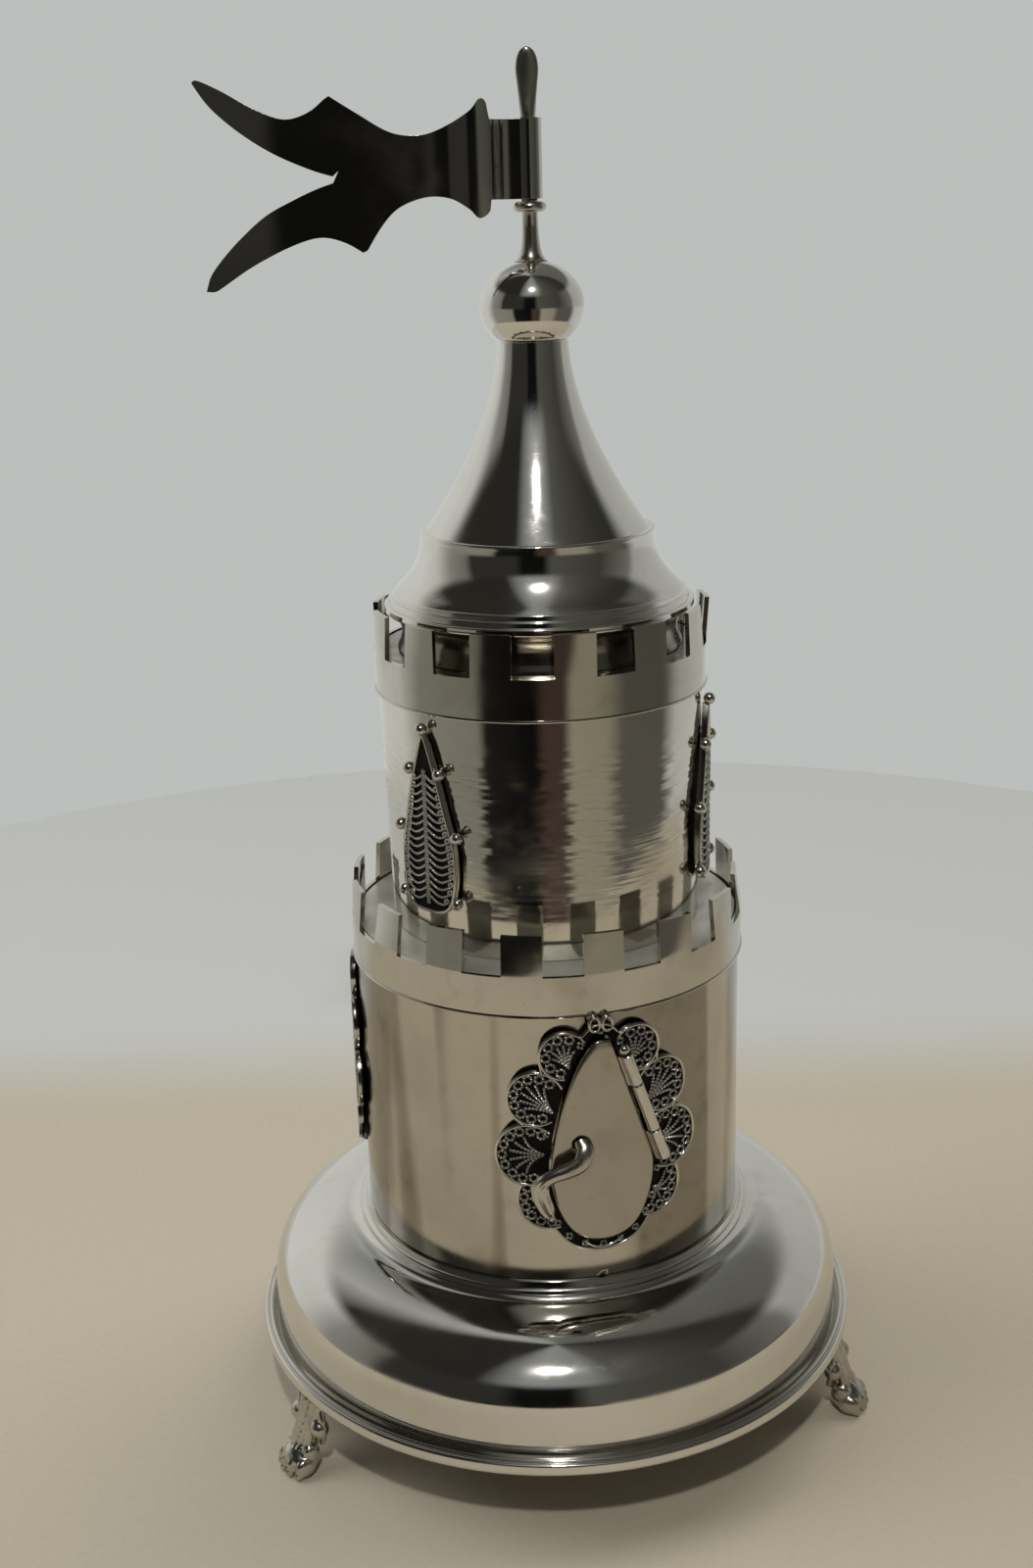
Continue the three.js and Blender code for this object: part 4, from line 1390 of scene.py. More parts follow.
@dataclass
class Finial:
    """Ball and rod with its stop ring and paddle."""

    finishes: Finishes
    rod_radius: float = 1.2
    neck: float = 5.5
    socket: float = 1.7
    ball_height: float = 1.71

    def build(self) -> None:
        """Builds the ball and the rod."""
        ball = Span.of("ball_finial")
        low, high = math.asin(self.neck / ball.radius), math.asin(self.socket / ball.radius)
        middle = ball.foot + (ball.top - ball.foot) / self.ball_height * math.cos(low)
        half = (ball.top - middle) / math.cos(high)
        profile = [(0, ball.foot), (5.35, ball.foot), (5.3, ball.foot + 0.15)]
        for index in range(1, 33):
            angle = lerp(low, math.pi - high, index / 32)
            profile.append((ball.radius * math.sin(angle), middle - half * math.cos(angle)))
        profile.append((0, ball.top))
        skin = Skin()
        skin.turned(profile, 96)
        MAKER.make("ball", skin, 40, [self.finishes.spun], "ball_finial")
        self._build_rod()

    def _build_rod(self) -> None:
        """Rod with a flared foot, a stop ring and a flattened end."""
        span = Span.of("finial_rod")
        stop = span.foot + 7.6
        r = self.rod_radius
        paddle_foot = span.top - PADDLE
        profile = [
            (2.6, span.foot - 0.28), (2.1, span.foot + 0.1), (1.72, span.foot + 0.8),
            (1.45, span.foot + 1.9), (1.3, span.foot + 3.2), (r, span.foot + 4.6), (r, stop - 0.75),
            *arc((r + 0.55, stop), 0.75, -125, 125, 12), (r, stop + 0.75), (r, paddle_foot),
        ]
        skin = Skin()
        skin.turned([(0, span.foot - 0.28), *profile, (0, paddle_foot)], 40)
        keys = [
            (-0.06, 1.1, 1.1), (0.06, 1.2, 1.05), (0.25, 1.32, 0.8), (0.45, 1.5, 0.66), (0.66, 1.7, 0.6),
            (0.82, 1.55, 0.56), (0.92, 1.18, 0.5), (0.98, 0.6, 0.36), (1.0, 0.16, 0.12),
        ]
        rings = [
            [
                Vector((wide * math.cos(a), -deep * math.sin(a), lerp(paddle_foot, span.top, share)))
                for a in (-turn for turn in around(28))
            ]
            for share, wide, deep in smooth(keys, 4)
        ]
        skin.loft(rings)
        skin.turn(FRAME_TURN)
        MAKER.make("rod", skin, 45, [self.finishes.cast], "finial_rod")


@dataclass
class Flag:
    """Swallow-tailed sheet on a sleeve rolled round the rod.

    Edges are given as shares of the flag's length beyond its strap and of its height.
    """

    finishes: Finishes
    strap: float = 4.6
    length: float = 45.2
    height: float = 30.0
    sleeve_height: float = 11.4
    sleeve_middle: float = 1.75
    sleeve_gap: float = 0.25
    fork: float = 0.535
    sheet: float = 0.5

    def build(self) -> None:
        """Builds the sheet in columns along its plan and thickens it."""
        sleeve_top = Span.of("finial_rod").top - PADDLE - self.sleeve_gap
        self.foot = sleeve_top - self.sleeve_height
        self.waist = self.foot + self.sleeve_height * 0.5
        skin = Skin()
        upper, lower = self._edges()
        body, tails = [], ([], [])
        for x, y, is_sleeve in self._plan():
            along = (-x - self.strap) / self.length
            if is_sleeve or along < 0.03:
                limits = (self.foot, sleeve_top)
            else:
                limits = (self._level(lower[0], along), self._level(upper[0], along))
            if is_sleeve or along < self.fork:
                body.append([Vector((x, y, lerp(*limits, k / 16))) for k in range(17)])
            if not is_sleeve and along >= 0.5:
                notch = self._level(upper[1], along), self._level(lower[1], along)
                split = lerp(*limits, 0.5)
                top_foot, low_top = (split, split) if along < self.fork else notch
                tails[0].append([Vector((x, y, lerp(top_foot, limits[1], k / 8))) for k in range(9)])
                tails[1].append([Vector((x, y, lerp(limits[0], low_top, k / 8))) for k in range(9)])
        skin.grid(body)
        joint = self.strap + (self.fork - 0.003) * self.length
        for tail, first in zip(tails, (body[-1][8:], body[-1][:9])):
            skin.grid([first, *(column for column in tail if -column[0].x >= joint)])
        skin.turn(FRAME_TURN)
        piece = MAKER.mesh_object("swallowtail_flag", skin, 60)
        thick = piece.modifiers.new("sheet", "SOLIDIFY")
        thick.thickness = self.sheet * MM
        thick.offset = 0
        bevel = piece.modifiers.new("edge", "BEVEL")
        bevel.width = 0.1 * MM
        bevel.segments = 2
        bevel.limit_method = "ANGLE"
        bevel.angle_limit = math.radians(40)
        bevel.harden_normals = True
        MAKER.finish(piece, [self.finishes.vane], Slot.BRIGHT, Body.FLAG, "flag")

    def _level(self, edge: Profile, along: float) -> float:
        """Height of an edge at a share of the flag's length.

        Args:
            edge: The edge in shares.
            along: Share of the flag's length.

        Returns:
            The height.
        """
        for (x0, z0), (x1, z1) in zip(edge, edge[1:]):
            if x0 <= along <= x1:
                share = (along - x0) / (x1 - x0) if x1 > x0 else 0
                return self.waist + (lerp(z0, z1, share) - 0.3) * self.height
        return self.waist + (edge[-1][1] - 0.3) * self.height

    @staticmethod
    def _edges() -> tuple[tuple[Profile, Profile], tuple[Profile, Profile]]:
        """Outer and inner edge of the upper and of the lower tail.

        Returns:
            The edges in shares, each tail's outer one first.
        """
        upper = [
            *smooth([(0.03, 0.50), (0.037, 0.57), (0.058, 0.585), (0.09, 0.53), (0.16, 0.47), (0.25, 0.425),
                     (0.35, 0.44), (0.46, 0.535), (0.55, 0.62)], 6),
            *smooth([(0.55, 0.62), (0.615, 0.545), (0.7, 0.515), (0.8, 0.57), (0.9, 0.655), (0.98, 0.71),
                     (0.998, 0.70)], 6),
        ]
        upper_inner = smooth([(0.535, 0.235), (0.62, 0.275), (0.74, 0.355), (0.85, 0.46), (0.94, 0.575),
                              (0.99, 0.675), (0.998, 0.70)], 6)
        lower = [
            *smooth([(0.03, 0.06), (0.045, 0.035), (0.07, 0.025), (0.1, 0.07), (0.16, 0.12), (0.24, 0.13),
                     (0.33, 0.085), (0.39, 0.0), (0.45, -0.135)], 6),
            *smooth([(0.45, -0.135), (0.52, -0.075), (0.6, -0.05), (0.7, -0.09), (0.83, -0.18),
                     (0.93, -0.27), (0.965, -0.30), (0.998, -0.30)], 6),
        ]
        lower_inner = smooth([(0.535, 0.215), (0.6, 0.185), (0.68, 0.135), (0.78, 0.06), (0.88, -0.06),
                              (0.95, -0.165), (0.985, -0.235), (0.998, -0.30)], 6)
        return (upper, upper_inner), (lower, lower_inner)

    def _plan(self) -> list[tuple[float, float, bool]]:
        """Plan of the sheet from its seam round the rod to the tips.

        Returns:
            Places across and deep, each with whether it belongs to the sleeve or its strap.
        """
        r = self.sleeve_middle
        sleeve = [
            (r * math.cos(a), r * math.sin(a), True)
            for a in (math.radians(lerp(-125, 90, k / 40)) for k in range(41))
        ]
        bend = smooth(
            [(0, r), (-self.strap * 0.8, r), (-self.strap - 1.6, 0.1), (-self.strap - 4.2, -0.25),
             (-self.strap - 7.6, 0.55), (-self.strap - 12, 0.35), (-self.strap - 20, -0.1),
             (-self.strap - 31, 0.0), (-self.strap - 38, 0.75), (-self.strap - self.length, 2.3)],
            14,
        )
        sheet = [(x, y, -x < self.strap + 0.03 * self.length) for x, y in bend[1:]]
        return sleeve + sheet


# Filigree

PLAIN = 1
RIM_SECTION = ((-0.5, 0), (-0.5, 0.84), (-0.34, 0.97), (0, 1.0), (0.34, 0.97), (0.5, 0.84), (0.5, 0))


@dataclass
class Filigree:
    """Twisted wire laid on a wall, with coiled rings and plain rims."""

    skin: Skin
    wall: Wall
    back: float
    ground: float
    wire: float = 0.24
    step: float = 0.15
    twist: float = 5.6
    beads: float = 0.0

    def lay(self, drawing: Sequence[Point2], lift: float = 0.24, closed: bool = False) -> None:
        """Lays a twisted wire along a drawn line.

        Args:
            drawing: Points aside and up.
            lift: Height of the wire's middle above the ground.
            closed: Whether the line is a ring.
        """
        points = self._evenly(drawing, closed)
        if len(points) < 4:
            return
        path = [self.wall.at(x, z, self.ground + lift) for x, z in points]
        if self.beads:
            self.skin.tube(path, self.wire, sides=6, closed=closed, beads=self.beads)
        else:
            across, along = self.wire * 1.2, self.wire * 0.62
            self.skin.tube(path, across, along, sides=6, closed=closed, twist=self.twist)

    def rim(self, drawing: Sequence[Point2], width: float, top: float, closed: bool = False) -> None:
        """Lays a plain bright strip on edge along a drawn line, from the back to a radius.

        Args:
            drawing: Points aside and up.
            width: Width of the strip.
            top: Radius of its upper edge.
            closed: Whether the line is a ring.
        """
        worked, self.skin.finish = self.skin.finish, PLAIN
        count = len(drawing)
        rows = []
        for index, (x, z) in enumerate(drawing):
            before = drawing[index - 1] if index or closed else (x, z)
            after = drawing[(index + 1) % count] if index < count - 1 or closed else (x, z)
            dx, dz = after[0] - before[0], after[1] - before[1]
            length = math.hypot(dx, dz) or 1
            nx, nz = dz / length, -dx / length
            rows.append([
                self.wall.at(x + nx * width * u, z + nz * width * u, lerp(self.back, top, v))
                for u, v in RIM_SECTION
            ])
        self.skin.grid(rows, around=True, along=closed)
        if not closed:
            self.skin.cap(rows[0], flip=True)
            self.skin.cap(rows[-1])
        self.skin.finish = worked

    def coil(self, centre: Point2, radius: float, lift: float = 0.26) -> None:
        """Lays a small ring of wire.

        Args:
            centre: Middle of the ring.
            radius: Radius of the ring.
            lift: Height of the wire's middle above the ground.
        """
        self.lay(ellipse(centre, radius, radius, 16), lift, closed=True)

    def _evenly(self, drawing: Sequence[Point2], closed: bool) -> list[Point2]:
        """Points at even steps along a drawn line.

        Args:
            drawing: Points aside and up.
            closed: Whether the line is a ring.

        Returns:
            The points.
        """
        line = [*drawing, drawing[0]] if closed else list(drawing)
        out = [line[0]]
        carried = 0.0
        for (x0, z0), (x1, z1) in zip(line, line[1:]):
            length = math.hypot(x1 - x0, z1 - z0)
            while carried + length >= self.step:
                share = (self.step - carried) / length
                x0, z0 = lerp(x0, x1, share), lerp(z0, z1, share)
                length = math.hypot(x1 - x0, z1 - z0)
                carried = 0.0
                out.append((x0, z0))
            carried += length
        if closed and len(out) > 3:
            out.pop()
        return out


@dataclass
class Fern:
    """Spine with curved ribs on both sides that fills a teardrop."""

    reach: Reach
    foot: float
    tip: float
    spacing: float = 1.15

    def draw(self, work: Filigree) -> None:
        """Lays a doubled spine and ribs that hang from it, each with a small ring at its end.

        Args:
            work: Filigree that draws it.
        """
        tip = self.tip - 0.2 * (self.tip - self.foot)
        for side in (-1, 1):
            work.lay([(side * 0.2, lerp(self.foot + 1.5, tip, k / 40)) for k in range(41)], 0.22)
        height = self.foot + 3.2
        while height < tip + 0.4:
            for side in (-1, 1):
                rib = self._rib(height, side)
                if len(rib) > 4:
                    work.lay(rib)
                    end = rib[-1]
                    work.coil((end[0] + side * 0.1, end[1] + 0.42), 0.34)
            height += self.spacing

    def _rib(self, height: float, side: int) -> list[Point2]:
        """Rib that leaves the spine downwards, sags and rises again towards the rim.

        Args:
            height: Height where it leaves the spine.
            side: 1 to the right, -1 to the left.

        Returns:
            The rib's points.
        """
        points = []
        for k in range(40):
            x = 0.35 + k * 0.18
            z = height - 1.9 * math.sin(min(x / 3.4, 1.1) * math.pi * 0.5) + 0.06 * x * x
            angle = math.atan2(z - self.reach.middle[1], side * x - self.reach.middle[0])
            distance = math.hypot(x - self.reach.middle[0], z - self.reach.middle[1])
            if distance > self.reach(angle) - 1.15:
                break
            points.append((side * x, z))
        return points


@dataclass
class Plaque:
    """Lobed filigree plaque on the lower drum."""

    node: str
    turn: float
    door_half_width: float = 8.0
    clearance: float = 0.5
    frame_width: float = 1.0
    lobes: tuple[tuple[float, float, float], ...] = (
        (0.72, 0.932, 0.515), (1.29, 0.72, 0.59), (1.46, 0.435, 0.675), (1.06, 0.204, 0.66),
        (0.0, 0.056, 0.53),
    )
    relief: float = 0.55
    proud: float = 1.3
    rim_width: float = 0.42
    coil: float = 0.66
    ribs: int = 6

    def __post_init__(self) -> None:
        """Takes the plaque's place and levels from the frame."""
        door_low, door_high = node_box("door_plate")
        self.door_foot = door_low.z
        self.door_height = door_high.z - door_low.z
        self.back = Span.of("lower_battlement").radius + 0.14
        self.face = self.back + self.proud
        self.top = self.back + 0.9
        self.ground = self.top - self.relief
        self.finish = Oxidised(f"{self.node}_silver", self.ground + 0.12, self.ground + 0.46).material()
        self.wall = Wall((self.back + self.face) / 2, self.turn)
        self.middle = (0.0, self.door_foot + 0.45 * self.door_height)
        self.hole = Reach(self.middle, teardrop(
            self.door_half_width, self.door_height, self.door_foot, self.clearance))
        wide = self.door_half_width
        self.discs = [
            (side * x * wide, self.door_foot + z * self.door_height, r * wide)
            for x, z, r in self.lobes
            for side in ((1,) if x == 0 else (-1, 1))
        ]

    def build(self) -> Skin:
        """Builds ground, rims and wires.

        Returns:
            The plaque's skin, to be turned into a piece by the caller.
        """
        skin = Skin()
        angles = around(240)
        inner = [self._inner_point(angle) for angle in angles]
        outer = [self._outer_point(angle) for angle in angles]
        rows = [[self.wall.at(*point, self.back) for point in inner]]
        for share in (0, 0.2, 0.4, 0.6, 0.8, 1):
            rows.append([self.wall.at(*mix(a, b, share), self.ground) for a, b in zip(inner, outer)])
        rows.append([self.wall.at(*point, self.back) for point in outer])
        skin.grid(rows, around=True, along=True)
        work = Filigree(skin, self.wall, self.back, self.ground)
        self._rims(work)
        for lobe in self.discs:
            self._fill_lobe(work, lobe)
        self._fill_gaps(work)
        self._loops(skin)
        self._centre(work)
        return skin

    def _inner_point(self, angle: float) -> Point2:
        """Inner edge of the ground."""
        return self.hole.point(angle)

    def _outer_point(self, angle: float) -> Point2:
        """Point on the lobed outline.

        Args:
            angle: Direction from the middle in radians.

        Returns:
            The point.
        """
        reach = self.hole(angle) + self.frame_width + 1.2
        dx, dy = math.cos(angle), math.sin(angle)
        for x, z, r in self.discs:
            cx, cz = x - self.middle[0], z - self.middle[1]
            forward = cx * dx + cz * dy
            off = abs(cx * dy - cz * dx)
            if off < r and forward + math.sqrt(r * r - off * off) > reach:
                reach = forward + math.sqrt(r * r - off * off)
        return self.middle[0] + reach * dx, self.middle[1] + reach * dy

    def _outside(self, point: Point2, margin: float) -> bool:
        """Whether a point is outside the door's frame by a margin."""
        dx, dz = point[0] - self.middle[0], point[1] - self.middle[1]
        return math.hypot(dx, dz) > self.hole(math.atan2(dz, dx)) + margin

    def _covered(self, point: Point2, lobe: tuple[float, float, float]) -> bool:
        """Whether a lobe that lies higher covers a point of this one.

        Args:
            point: Point aside and up.
            lobe: The lobe that it belongs to.

        Returns:
            True if it is covered.
        """
        return any(
            z > lobe[1] + 0.5 and x * lobe[0] >= 0 and math.hypot(point[0] - x, point[1] - z) < r - 0.25
            for x, z, r in self.discs
        )

    def _rims(self, work: Filigree) -> None:
        """Rim round each lobe and round the whole.

        Args:
            work: Filigree that draws it.
        """
        for lobe in self.discs:
            x, z, r = lobe
            run: list[Point2] = []
            start = math.atan2(self.middle[1] - z, -x) if x else math.pi / 2
            for k in range(73):
                a = start + math.tau * k / 72
                point = (x + (r - 0.25) * math.cos(a), z + (r - 0.25) * math.sin(a))
                if self._outside(point, self.frame_width * 0.6) and not self._covered(point, lobe):
                    run.append(point)
                    if k < 72:
                        continue
                if len(run) > 3:
                    work.rim(run, self.rim_width, self.top)
                run = []
        outline = [self._outer_point(a) for a in around(240)]
        work.rim([self._inwards(point, 0.2) for point in outline], 0.36, self.top - 0.02, closed=True)

    def _inwards(self, point: Point2, inset: float) -> Point2:
        """Moves an outline point towards the middle.

        Args:
            point: Point aside and up.
            inset: Distance of the move.

        Returns:
            The moved point.
        """
        dx, dz = point[0] - self.middle[0], point[1] - self.middle[1]
        share = 1 - inset / math.hypot(dx, dz)
        return self.middle[0] + dx * share, self.middle[1] + dz * share

    def _fill_lobe(self, work: Filigree, lobe: tuple[float, float, float]) -> None:
        """Fan of ribs from the frame, with coils along the lobe's rim.

        Args:
            work: Filigree that draws it.
            lobe: Place and radius of the lobe.
        """
        x, z, r = lobe
        out = math.atan2(z - self.middle[1], x - self.middle[0])
        base = self.hole.point(out, self.frame_width * 0.9)
        coil, ribs = self.coil, self.ribs
        ring_radius = r - 0.5 - coil - 0.12
        spread = math.radians(150)
        count = max(6, round(2 * spread * ring_radius / (2 * coil + 0.5)))
        for k in range(count + 1):
            a = out - spread + 2 * spread * k / count
            centre = (x + ring_radius * math.cos(a), z + ring_radius * math.sin(a))
            if self._outside(centre, coil + 0.8) and not self._covered(centre, lobe):
                work.coil(centre, coil)
        for k in range(ribs):
            share = k / (ribs - 1) * 2 - 1
            a = out + share * math.radians(82)
            end_radius = ring_radius - coil - 0.25
            end = (x + end_radius * math.cos(a), z + end_radius * math.sin(a))
            if not self._outside(end, 0.9) or self._covered(end, lobe):
                continue
            reach = math.hypot(end[0] - base[0], end[1] - base[1])
            control = (
                base[0] + math.cos(out + share * 0.35) * reach * 0.6,
                base[1] + math.sin(out + share * 0.35) * reach * 0.6,
            )
            work.lay(bezier(base, control, end, 14))

    def _fill_gaps(self, work: Filigree) -> None:
        """Coils along the frame, where no lobe's rim runs.

        Args:
            work: Filigree that draws it.
        """
        count = 36
        for k in range(count):
            angle = math.tau * k / count
            centre = self.hole.point(angle, self.frame_width + 0.1)
            edge = self._outer_point(angle)
            room = math.hypot(edge[0] - centre[0], edge[1] - centre[1])
            if 0.9 < room < 5:
                work.coil(centre, 0.46, 0.22)

    def _loops(self, skin: Skin) -> None:
        """Two plain wire loops side by side on top.

        Args:
            skin: Surface that it joins.
        """
        skin.finish = PLAIN
        top = self.door_foot + self.door_height + self.clearance + self.frame_width + 1.2
        for side in (-1, 1):
            loop = ellipse((side * 1.02, top), 0.82, 1.2, 28)
            path = [self.wall.at(*point, self.top - 0.1) for point in loop]
            skin.tube(path, 0.26, 0.32, sides=10, closed=True)
        skin.finish = 0

    def _centre(self, work: Filigree) -> None:
        """Leaves the middle open for the door."""


@dataclass
class SidePlaque(Plaque):
    """Lobed plaque whose middle is a teardrop of filigree instead of a door."""

    def _inner_point(self, angle: float) -> Point2:
        """Ground runs to the middle."""
        x, z = self.middle
        return x + 0.02 * math.cos(angle), z + 0.02 * math.sin(angle)

    def _centre(self, work: Filigree) -> None:
        """Fills the teardrop with a fern inside a rim of its own.

        Args:
            work: Filigree that draws it.
        """
        line = [self.hole.point(a, 0.3) for a in around(160)]
        work.rim(line, 0.4, self.top - 0.02, closed=True)
        Fern(self.hole, self.door_foot, self.door_foot + self.door_height, 1.9).draw(work)


@dataclass
class Teardrop:
    """Filigree teardrop with beads on the upper drum."""

    finishes: Finishes
    node: str
    name: str
    turn: float
    half_width: float = 6.0
    height: float = 29.2
    beads: tuple[Point2, ...] = ((0.0, 1.02), (0.52, 0.79), (1.0, 0.455), (0.95, 0.085))
    bead: float = 0.98

    def build(self) -> None:
        """Builds ground, rim, fern and beads."""
        drum = Span.of("upper_drum")
        foot = node_box(self.node)[0].z
        back = drum.radius + 0.1
        face = drum.radius + 0.14 + 1.1
        ground = face - 0.5
        wall = Wall((back + face) / 2, self.turn)
        middle = (0.0, foot + 0.42 * self.height)
        outline = teardrop(self.half_width, self.height, foot, -0.05, SLIM_DROP)
        reach = Reach(middle, outline)
        angles = around(120)
        skin = Skin()
        rows = [[wall.at(*point, ground) for point in ellipse(middle, 0.02, 0.02, 120)]]
        for share in (0.35, 0.7, 1):
            rows.append([wall.at(*mix(middle, reach.point(a), share), ground) for a in angles])
        rows.append([wall.at(*reach.point(a), back) for a in angles])
        skin.grid(rows, around=True)
        work = Filigree(skin, wall, back, ground, wire=0.235, step=0.12, beads=0.5)
        work.rim([reach.point(a, -0.24) for a in angles], 0.5, face, closed=True)
        Fern(reach, foot, foot + self.height, 1.22).draw(work)
        skin.finish = PLAIN
        for aside, high in self.beads:
            for side in ((1,) if aside == 0 else (-1, 1)):
                place = side * aside * self.half_width, foot + high * self.height
                centre = wall.at(*place, back + self.bead + 0.1)
                skin.blob(centre, Vector((self.bead, self.bead, self.bead)), steps=10)
        oxidised = Oxidised(f"{self.name}_silver", ground + 0.12, ground + 0.46).material()
        MAKER.make(self.name, skin, 60, [oxidised, self.finishes.rim], self.node, Slot.FILIGREE)


# Door

@dataclass
class Door:
    """Teardrop door with its hinge barrel and scroll handle."""

    finishes: Finishes
    surround: Plaque
    barrel: float = 0.95
    barrel_proud: float = 0.8
    barrel_top: Point2 = (0.4125, 0.941)
    barrel_foot: Point2 = (1.2125, 0.373)
    splits: tuple[float, float] = (0.36, 0.72)
    gap: float = 0.16

    def __post_init__(self) -> None:
        """Works out the hinge line."""
        self.foot = self.surround.door_foot
        self.face = self.surround.face + 0.6
        self.back = self.face - 1.2
        self.wall = Wall(self.surround.face)
        self.barrel_centre = self.face + self.barrel_proud
        wide, high = self.surround.door_half_width, self.surround.door_height
        top, low = (
            self.wall.at(aside * wide, self.foot + share * high, self.barrel_centre)
            for aside, share in (self.barrel_top, self.barrel_foot)
        )
        self.origin = low
        self.length = (top - low).length
        self.up = (top - low).normalized()
        out = (top + low) / 2
        out.z = 0
        self.out = (out - self.up * out.dot(self.up)).normalized()
        self.left = self.out.cross(self.up)

    def hinge_point(self, left: float, out: float, up: float) -> Vector:
        """Point counted from the barrel's foot."""
        return self.origin + self.left * left + self.out * out + self.up * up

    def build(self) -> None:
        """Builds door, handle, surround and pin."""
        self._build_plate()
        self._build_handle()
        self._build_surround()
        self._build_pin()

    def _knuckle(self, skin: Skin, low: float, high: float, reach: float, face: float) -> None:
        """Adds a rolled knuckle with its strap.

        Args:
            skin: Surface that it joins.
            low: Foot of the knuckle along the barrel, as a share.
            high: Top of the knuckle, as a share.
            reach: Length of the strap, to the left if positive.
            face: Radius of the face that the strap lies on.
        """
        start, end = low * self.length + self.gap / 2, high * self.length - self.gap / 2
        bore, outer = 0.55, self.barrel
        edge = outer - 0.12
        profile = [
            (bore, start), (edge, start), (outer, start + 0.12), (outer, start + 0.2),
            (outer, end - 0.2), (outer, end - 0.12), (edge, end), (bore, end), (bore, start),
        ]
        skin.grid([
            [self.hinge_point(radius * math.cos(a), radius * math.sin(a), level) for a in around(28)]
            for radius, level in profile
        ], around=True)
        drop = face - 0.2 - self.barrel_centre
        side = 1 if reach > 0 else -1
        section = smooth([(0.3, 0.8), (0.75, 0.45), (0.97, -0.1), (1.1, -0.4), (abs(reach), -0.48)], 4)
        back = [(x, max(z - 0.45, drop)) for x, z in section]
        loop = section + back[::-1]
        skin.loft([
            [self.hinge_point(side * x, z, level) for x, z in loop]
            for level in (start + 0.02, lerp(start, end, 0.5), end - 0.02)
        ])

    def _build_plate(self) -> None:
        """Slightly crowned plate, straight beside the barrel, with rolled edges."""
        outline = teardrop(self.surround.door_half_width, self.surround.door_height, self.foot, 0.28)
        flank = self.barrel + 0.25
        trimmed = [self._beside_barrel(point, flank) for point in outline]
        middle = self.surround.middle
        reach = Reach(middle, trimmed)
        angles = around(200)
        wall = Wall((self.back + self.face) / 2)
        face = self.face - 0.12
        rows = [[wall.at(*point, self.back) for point in ellipse(middle, 0.01, 0.01, 200)]]
        edge = (
            (0.12, self.back), (0, self.back + 0.12), (0, face - 0.3), (0.06, face - 0.16),
            (0.18, face - 0.06), (0.36, face),
        )
        rows += [[wall.at(*reach.point(a, -inset), level) for a in angles] for inset, level in edge]
        for share in (0.94, 0.8, 0.6, 0.4, 0.2, 0.004):
            crown = 0.12 * (1 - share * share)
            rows.append([
                wall.at(
                    middle[0] + (reach(a) - 0.36) * share * math.cos(a),
                    middle[1] + (reach(a) - 0.36) * share * math.sin(a),
                    face + crown,
                )
                for a in angles
            ])
        skin = Skin()
        skin.grid(rows, around=True)
        skin.finish = PLAIN
        self._knuckle(skin, 1 - self.splits[0] + 0.08, 1, 1.2, self.face)
        self._knuckle(skin, 0, 1 - self.splits[1], 1.18, self.face)
        finishes = [self.finishes.door, self.finishes.rim]
        MAKER.make("teardrop_door", skin, 32, finishes, "door_plate", body=Body.DOOR)

    def _beside_barrel(self, point: Point2, flank: float) -> Point2:
        """Moves an outline point left until it is clear of the barrel.

        Args:
            point: Point aside and up.
            flank: Distance from the barrel's middle.

        Returns:
            The moved point.
        """
        x, z = point
        for _ in range(4):
            place = self.wall.at(x, z, self.face)
            left = (place - self.origin).dot(self.left)
            if left >= flank:
                break
            x -= flank - left
        return x, z

    def _build_handle(self) -> None:
        """Scroll that rises from a hollow, drawn as a shallow disc painted near-black as its shade, and ends
        in reeds and a small ball.
        """
        top = self.face + 1.75
        keys = [
            (-3.5, 17.5, self.face - 0.1), (-3.2, 16.4, top - 0.7), (-3.9, 14.7, top - 0.1),
            (-5.7, 13.6, top), (-8.0, 12.7, top), (-9.7, 11.3, top), (-9.9, 9.4, top),
            (-9.2, 7.2, top), (-8.4, 5.7, top - 0.1),
        ]
        path = [self.wall.at(x, self.foot + z, r) for x, z, r in smooth(keys, 7)]
        widths = smooth([(0, 1.25), (0.12, 1.42), (0.3, 1.38), (0.52, 1.15), (0.7, 1.38), (0.86, 1.3),
                         (0.95, 0.9), (1.0, 0.55)], 8)
        skin = Skin()
        rings = []
        for index, point in enumerate(path):
            share = index / (len(path) - 1)
            before, after = path[max(index - 1, 0)], path[min(index + 1, len(path) - 1)]
            run = (after - before).normalized()
            out = Vector((point.x, point.y, 0)).normalized()
            if index < 6:
                out = (out * (index / 6) + Vector((0, 0, 1)) * (1 - index / 6)).normalized()
            out = (out - run * out.dot(run)).normalized()
            side = run.cross(out)
            half = next(
                lerp(w0, w1, (share - s0) / (s1 - s0))
                for (s0, w0), (s1, w1) in zip(widths, widths[1:]) if s0 <= share <= s1
            )
            reeds = 0.3 * min(1, max(0, (share - 0.56) / 0.1)) * (1 if share < 0.95 else 0.3)
            ring = []
            for k in range(40):
                a = math.tau * k / 40
                swell = 1 - reeds * (0.5 - 0.5 * math.cos(8 * a))
                ring.append(point + side * (half * swell * math.cos(a)) + out * (1.0 * swell * math.sin(a)))
            rings.append(ring)
        skin.loft(rings)
        skin.blob(path[-1] - Vector((0, 0, 0.35)), Vector((0.62, 0.62, 0.62)), steps=10)
        skin.finish = PLAIN
        # Hollow at the scroll's root: a shallow disc, near-black all over as painted shade of a depth that it
        # doesn't have.
        hollow = -3.6, self.foot + 17.1
        skin.grid([
            [
                self.wall.at(*point, self.face - 0.02 + 0.05 * (1 - share))
                for point in ellipse(hollow, 1.5 * share, 1.25 * share, 28)
            ]
            for share in (0.02, 0.6, 1)
        ], around=True)
        # No point reaches these radii, so the disc is near-black everywhere: painted shade.
        dark = Oxidised("door_hollow_painted_shade", 99, 100, oxide=(0.01, 0.009, 0.008)).material()
        MAKER.make("scroll_handle", skin, 60, [self.finishes.cast, dark], "door_handle", Slot.CAST, Body.DOOR)

